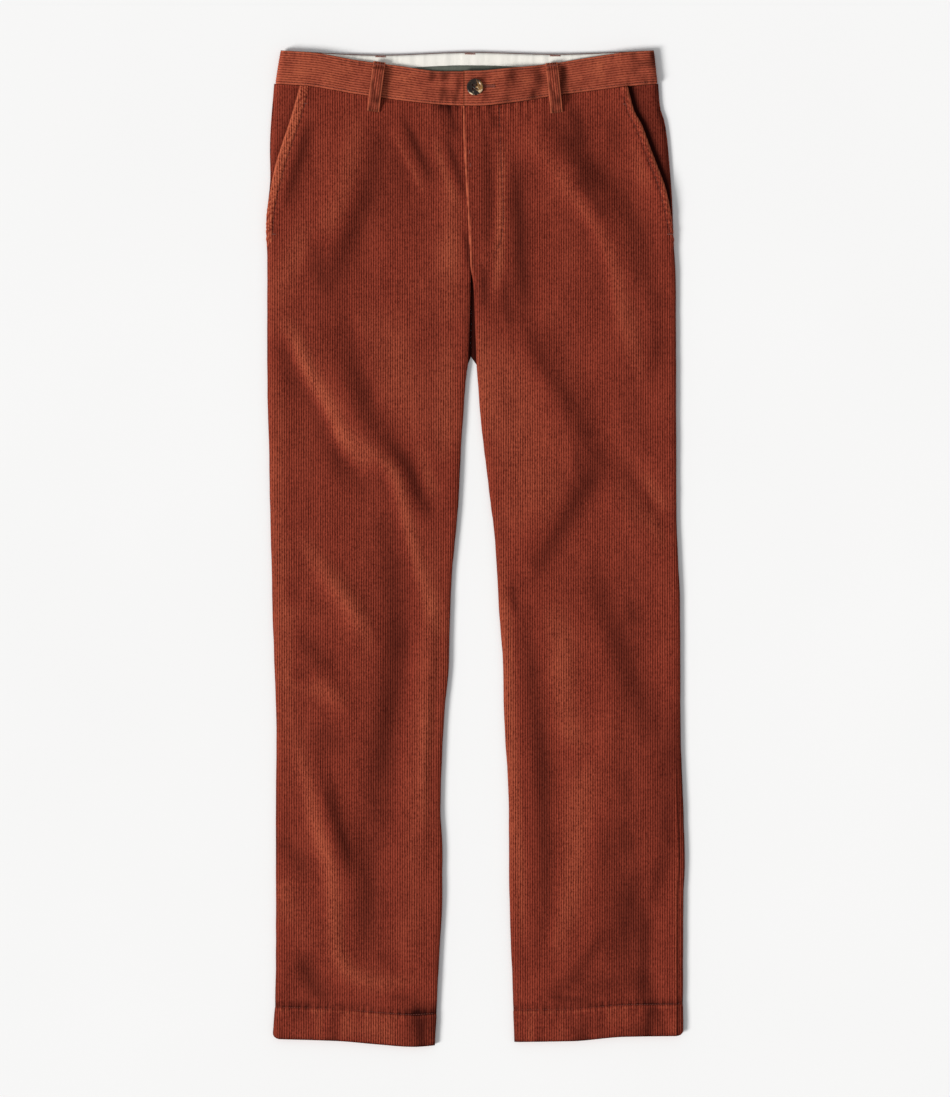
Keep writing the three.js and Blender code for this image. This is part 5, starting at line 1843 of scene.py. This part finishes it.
@dataclass
class Sewing:
    """Stitches, bar tacks and the buttonhole."""

    wardrobe: Wardrobe
    pattern: Pattern = field(default_factory=Pattern)
    pitch: float = 3.0
    length: float = 2.5
    radius: float = 0.24
    close: float = 0.55
    tack_half: float = 0.85
    tack_radius: float = 0.27
    sunk: float = 0.35

    def stitch(self, maker: MeshMaker, middle: Array, direction: Array, half: float, radius: float) -> None:
        """Adds one stitch, a short thread that dips into the cloth at both ends.

        Args:
            maker: the mesh that it is added to.
            middle: x, drop and z of its middle.
            direction: a unit vector along it, in x and drop.
            half: half its length.
            radius: the thread's radius.
        """
        t = np.array([-1.0, -0.75, 0.0, 0.75, 1.0])[:, None]
        around = np.linspace(0, math.tau, 7)[None, :]
        thick = radius * np.sqrt(np.clip(1 - t**2 * 0.96, 0.02, 1))
        sideways = thick * np.cos(around)
        x = middle[0] + direction[0] * t * half - direction[1] * sideways
        drop = middle[1] + direction[1] * t * half + direction[0] * sideways
        z = middle[2] - 0.3 * t**4 + thick * np.sin(around)
        numbers = maker.add_points(Cloth(x, drop, z, 0, 0).points())
        maker.add_grid(numbers)
        for ring in (numbers[0][:-1], numbers[-1][:-1][::-1]):
            maker.faces.append(np.array([(ring[0], ring[k], ring[k + 1]) for k in range(1, 5)]))

    def run(self, maker: MeshMaker, route: Route, height: Callable[[Array, Array], Array]) -> None:
        """Adds a line of stitches along a route.

        Args:
            maker: the mesh that they are added to.
            route: where they run.
            height: the height of the cloth at places.
        """
        places = route.spaced(self.pitch)
        heights = height(places[:, 0], places[:, 1])
        for start, end, low, high in zip(places[:-1], places[1:], heights[:-1], heights[1:]):
            step = end - start
            direction = step / np.hypot(*step)
            middle = np.array([*(start + end) / 2, (low + high) / 2])
            self.stitch(maker, middle, direction, self.length / 2, self.radius)

    def tack(
        self, maker: MeshMaker, centre: Sequence[float], direction: Sequence[float], width: float
    ) -> None:
        """Adds a bar tack: close threads side by side across a bar.

        Args:
            maker: the mesh that it is added to.
            centre: x, drop and z of its middle.
            direction: a unit vector along the bar, in x and drop.
            width: the bar's length.
        """
        along = np.array(direction)
        count = int(width / self.close)
        for i in range(count + 1):
            shift = (i / count - 0.5) * width
            middle = np.array([centre[0] + along[0] * shift, centre[1] + along[1] * shift, centre[2]])
            lean = np.array([-along[1] + 0.25 * along[0], along[0] + 0.25 * along[1]])
            self.stitch(maker, middle, lean / np.hypot(*lean), self.tack_half, self.tack_radius)

    def panels(self, panels: Sequence[FrontPanel]) -> None:
        """The topstitching of the fronts: pocket mouths, fly and hems.

        Args:
            panels: the fronts.
        """
        maker = MeshMaker("panel_stitches")
        for panel in panels:
            for route in panel.stitch_routes().values():
                self.run(maker, route, lambda x, drop, panel=panel: panel.surface(x, drop, -self.sunk))
        settle(maker.make(self.wardrobe.thread), "corduroy")

    def bands(self, bands: Sequence[FrontBand]) -> None:
        """The topstitching along both edges of the front waistband.

        Args:
            bands: the front waistband's halves, left before right.
        """
        p = self.pattern
        maker = MeshMaker("band_stitches")
        for band in bands:
            sign = band.side.value
            outer = p.band_ends[band.side][1] - sign * (p.band_roll + 1)
            inner = p.fly_edge(0) + sign * band.edge_stitch
            x = np.linspace(outer, inner, 14)
            upper, lower = band.edges(x)
            for drop in (upper + band.edge_stitch, lower - band.edge_stitch):
                route = Route(np.stack([x, drop], 1))
                self.run(maker, route, lambda a, b, side=band.side: p.band_height(side, a) + 0.1)
        upper, lower = bands[-1].edges(inner)
        drops = np.linspace(upper + bands[-1].edge_stitch, lower - bands[-1].edge_stitch, 4)
        route = Route(np.stack([np.full(4, inner), drops], 1))
        self.run(maker, route, lambda a, b: p.band_height(Side.RIGHT, a) + 0.1)
        settle(maker.make(self.wardrobe.thread), "waistband_corduroy")

    def tacks(self, loops: Sequence[BeltLoop], panels: Sequence[FrontPanel]) -> None:
        """The bar tacks of the belt loops, the pocket mouths and the fly.

        Args:
            loops: the front belt loops.
            panels: the fronts, left before right.
        """
        maker = MeshMaker("bar_tacks")
        for loop in loops:
            length, ux, ud = loop.run()
            x, drop = loop.along(np.array([loop.tack]))
            z = loop.under(np.array([0.0, loop.tack, length]))[1] + loop.cloth + 0.1
            self.tack(maker, (x[0], drop[0], z), (ud, -ux), loop.width - 1.5)
        for panel in panels:
            route = panel.stitch_routes()["mouth"]
            for place in (route.line[2], route.line[-1]):
                z = float(panel.surface(place[0], place[1], 0.15))
                self.tack(maker, (*place, z), (1, 0), 6)
        right = panels[-1]
        for x, drop in ((-7.5, 118.0), (-6.5, 133.0)):
            z = float(right.surface(np.array(x), np.array(drop), 0.1))
            self.tack(maker, (x, drop, z), (0, 1), 3.4)
        settle(maker.make(self.wardrobe.thread), "corduroy")

    def lining_tacks(self, places: Sequence[float], height: float) -> None:
        """The ends of the back belt loops' tacks, which come through the lining's upper edge.

        Args:
            places: the back loops' x.
            height: the tacks' height.
        """
        maker = MeshMaker("lining_tacks")
        for x in places:
            self.tack(maker, (x, float(self.pattern.back_edge(x)) + 2.0, height), (1, 0.02), 11.5)
        settle(maker.make(self.wardrobe.thread), "waistband_corduroy")

    def buttonhole(self, button: Button) -> None:
        """The worked buttonhole: close stitches round a slit that runs from the button.

        Args:
            button: the button that it is for.
        """
        p = self.pattern
        z = button.seat() - 0.05
        start, end, drop = p.button_x + 9.2, p.button_x + 21.5, p.button_drop - 1.4
        half_gap, round_gap = 0.9, 1.2
        maker = MeshMaker("buttonhole")
        for row in (-1, 1):
            for x in np.arange(start, end, self.close):
                middle = np.array([x, drop + row * half_gap, z])
                lean = np.array([0.12 * row, 1.0]) / math.hypot(0.12, 1)
                self.stitch(maker, middle, lean, 0.75, self.tack_radius)
        for turn in np.linspace(-math.pi / 2, math.pi / 2, 7):
            direction = np.array([math.cos(turn), math.sin(turn)])
            middle = np.array([end + round_gap * direction[0], drop + round_gap * direction[1], z])
            self.stitch(maker, middle, direction, 0.95, self.tack_radius)
        settle(maker.make(self.wardrobe.thread), "waistband_corduroy")

    def button_thread(self, button: Button) -> None:
        """The thread that holds the button: two bars from hole to hole.

        Args:
            button: the button that it holds.
        """
        p = self.pattern
        maker = MeshMaker("button_thread")
        for row in (-1, 1):
            for shift in (-0.35, 0, 0.35):
                z = button.seat() + float(button.height(np.array(2.0))) + 0.15
                middle = np.array([p.button_x, p.button_drop + row * button.spread + shift, z])
                self.stitch(maker, middle, np.array([1.0, 0.0]), button.spread + 0.2, 0.2)
        settle(maker.make(self.wardrobe.dark_thread), "button")


@dataclass
class Studio:
    """The pale floor, the soft light and the camera straight above.

    Lengths are in metres, but the sensor's in millimetres, and angles are in degrees.
    """

    frame_height: float = 1.2616
    distance: float = 3.6
    look_height: float = 0.007
    sensor: float = 36.0
    camera_x: float = -0.0006
    floor_size: float = 60.0
    sky: Colour = (0.97, 0.985, 1.0, 1)
    sky_strength: float = 0.42
    key_energy: float = 3.75
    key_spread: float = 20.0
    key_turn: tuple[float, float] = (24.0, -56.0)
    key_colour: tuple[float, float, float] = (1.0, 0.985, 0.965)

    def build(self) -> None:
        """Makes the floor, the lights, the world and the camera."""
        self.floor()
        self.lights()
        self.camera()

    def floor(self) -> None:
        """A plain pale floor."""
        bpy.ops.mesh.primitive_plane_add(size=self.floor_size, location=(0, 0, -0.0003))
        plane = bpy.context.object
        plane.name = "floor"
        material, graph, shader = new_material("pale_floor")
        place = graph.add("ShaderNodeTexCoord").outputs["Object"]
        colour = graph.blend(graph.noise(place, 3.0, 2.0), (0.9, 0.9, 0.9, 1), (0.93, 0.93, 0.93, 1))
        graph.feed(shader, {"Base Color": colour, "Roughness": 0.9})
        plane.data.materials.append(material)
        plane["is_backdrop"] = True

    def lights(self) -> None:
        """A broad key from the upper left, and an even fill."""
        world = bpy.data.worlds.new("studio")
        world.use_nodes = True
        back = world.node_tree.nodes["Background"]
        back.inputs["Color"].default_value = self.sky
        back.inputs["Strength"].default_value = self.sky_strength
        bpy.context.scene.world = world
        key = bpy.data.lights.new("key", "SUN")
        key.energy, key.angle, key.color = self.key_energy, math.radians(self.key_spread), self.key_colour
        lamp = bpy.data.objects.new("key", key)
        lamp.rotation_euler = (*map(math.radians, self.key_turn), 0)
        bpy.context.scene.collection.objects.link(lamp)

    def camera(self) -> None:
        """A long lens straight above the middle of the photo's frame."""
        data = bpy.data.cameras.new("camera")
        data.sensor_width = self.sensor
        data.lens = self.sensor * self.distance / self.frame_height
        camera = bpy.data.objects.new("camera", data)
        camera.location = (self.camera_x, 0, self.distance + self.look_height)
        bpy.context.scene.collection.objects.link(camera)
        bpy.context.scene.camera = camera
        bpy.context.scene.view_settings.view_transform = "Standard"


def main() -> None:
    """Builds the garment piece by piece, and the studio around it."""
    logging.basicConfig(level=logging.INFO, format="%(name)s: %(message)s")
    Studio().build()
    wardrobe = Wardrobe()
    panels = [FrontPanel(side, wardrobe) for side in Side]
    bands = [FrontBand(side, wardrobe) for side in Side]
    loops = [
        BeltLoop(Side.LEFT, (-111, 14.5), (-118.5, 71.5), panels[0], wardrobe),
        BeltLoop(Side.RIGHT, (86.5, 15.5), (92.5, 73), panels[1], wardrobe),
    ]
    back_loops = [BackLoop(word, x, wardrobe) for word, x in (("left", -110), ("centre", -7), ("right", 91))]
    button = Button(wardrobe)
    for side in Side:
        BackPanel(side, wardrobe).build()
        BackBand(side, wardrobe).build()
    lining_floor = PATTERN.back_lift + PATTERN.back_band + PATTERN.seam
    lining = BandStrip(
        name="band_lining",
        slot="lining",
        node="waistband_lining",
        start=0.8,
        depth=PATTERN.back_band_depth - 3,
        floor=lining_floor,
        thick=0.9,
        tuck=0.3,
    )
    tape = BandStrip(
        name="band_tape",
        slot="tape",
        node="waistband_tape",
        start=15.5,
        depth=14.0,
        floor=lining_floor + 1.2,
        thick=0.7,
        tuck=0.03,
    )
    lining.build(wardrobe.lining, "band_back_left")
    tape.build(wardrobe.tape, "band_lining")
    facings = [PocketFacing(side, wardrobe) for side in Side]
    for piece in (*back_loops, *facings, *panels, *bands, *loops, button):
        piece.build()
    sewing = Sewing(wardrobe)
    sewing.panels(panels)
    sewing.bands(bands)
    sewing.tacks(loops, panels)
    sewing.lining_tacks([loop.x for loop in back_loops], lining_floor + 1.25)
    sewing.buttonhole(button)
    sewing.button_thread(button)
    for name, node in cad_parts.items():
        LOG.info("node %s: %s", name, "replaced" if node.hide_render else "kept")
    sizes = [[list(corner) for corner in box] for box in (CAD_BOX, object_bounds())]


if __name__ == "__main__":
    main()
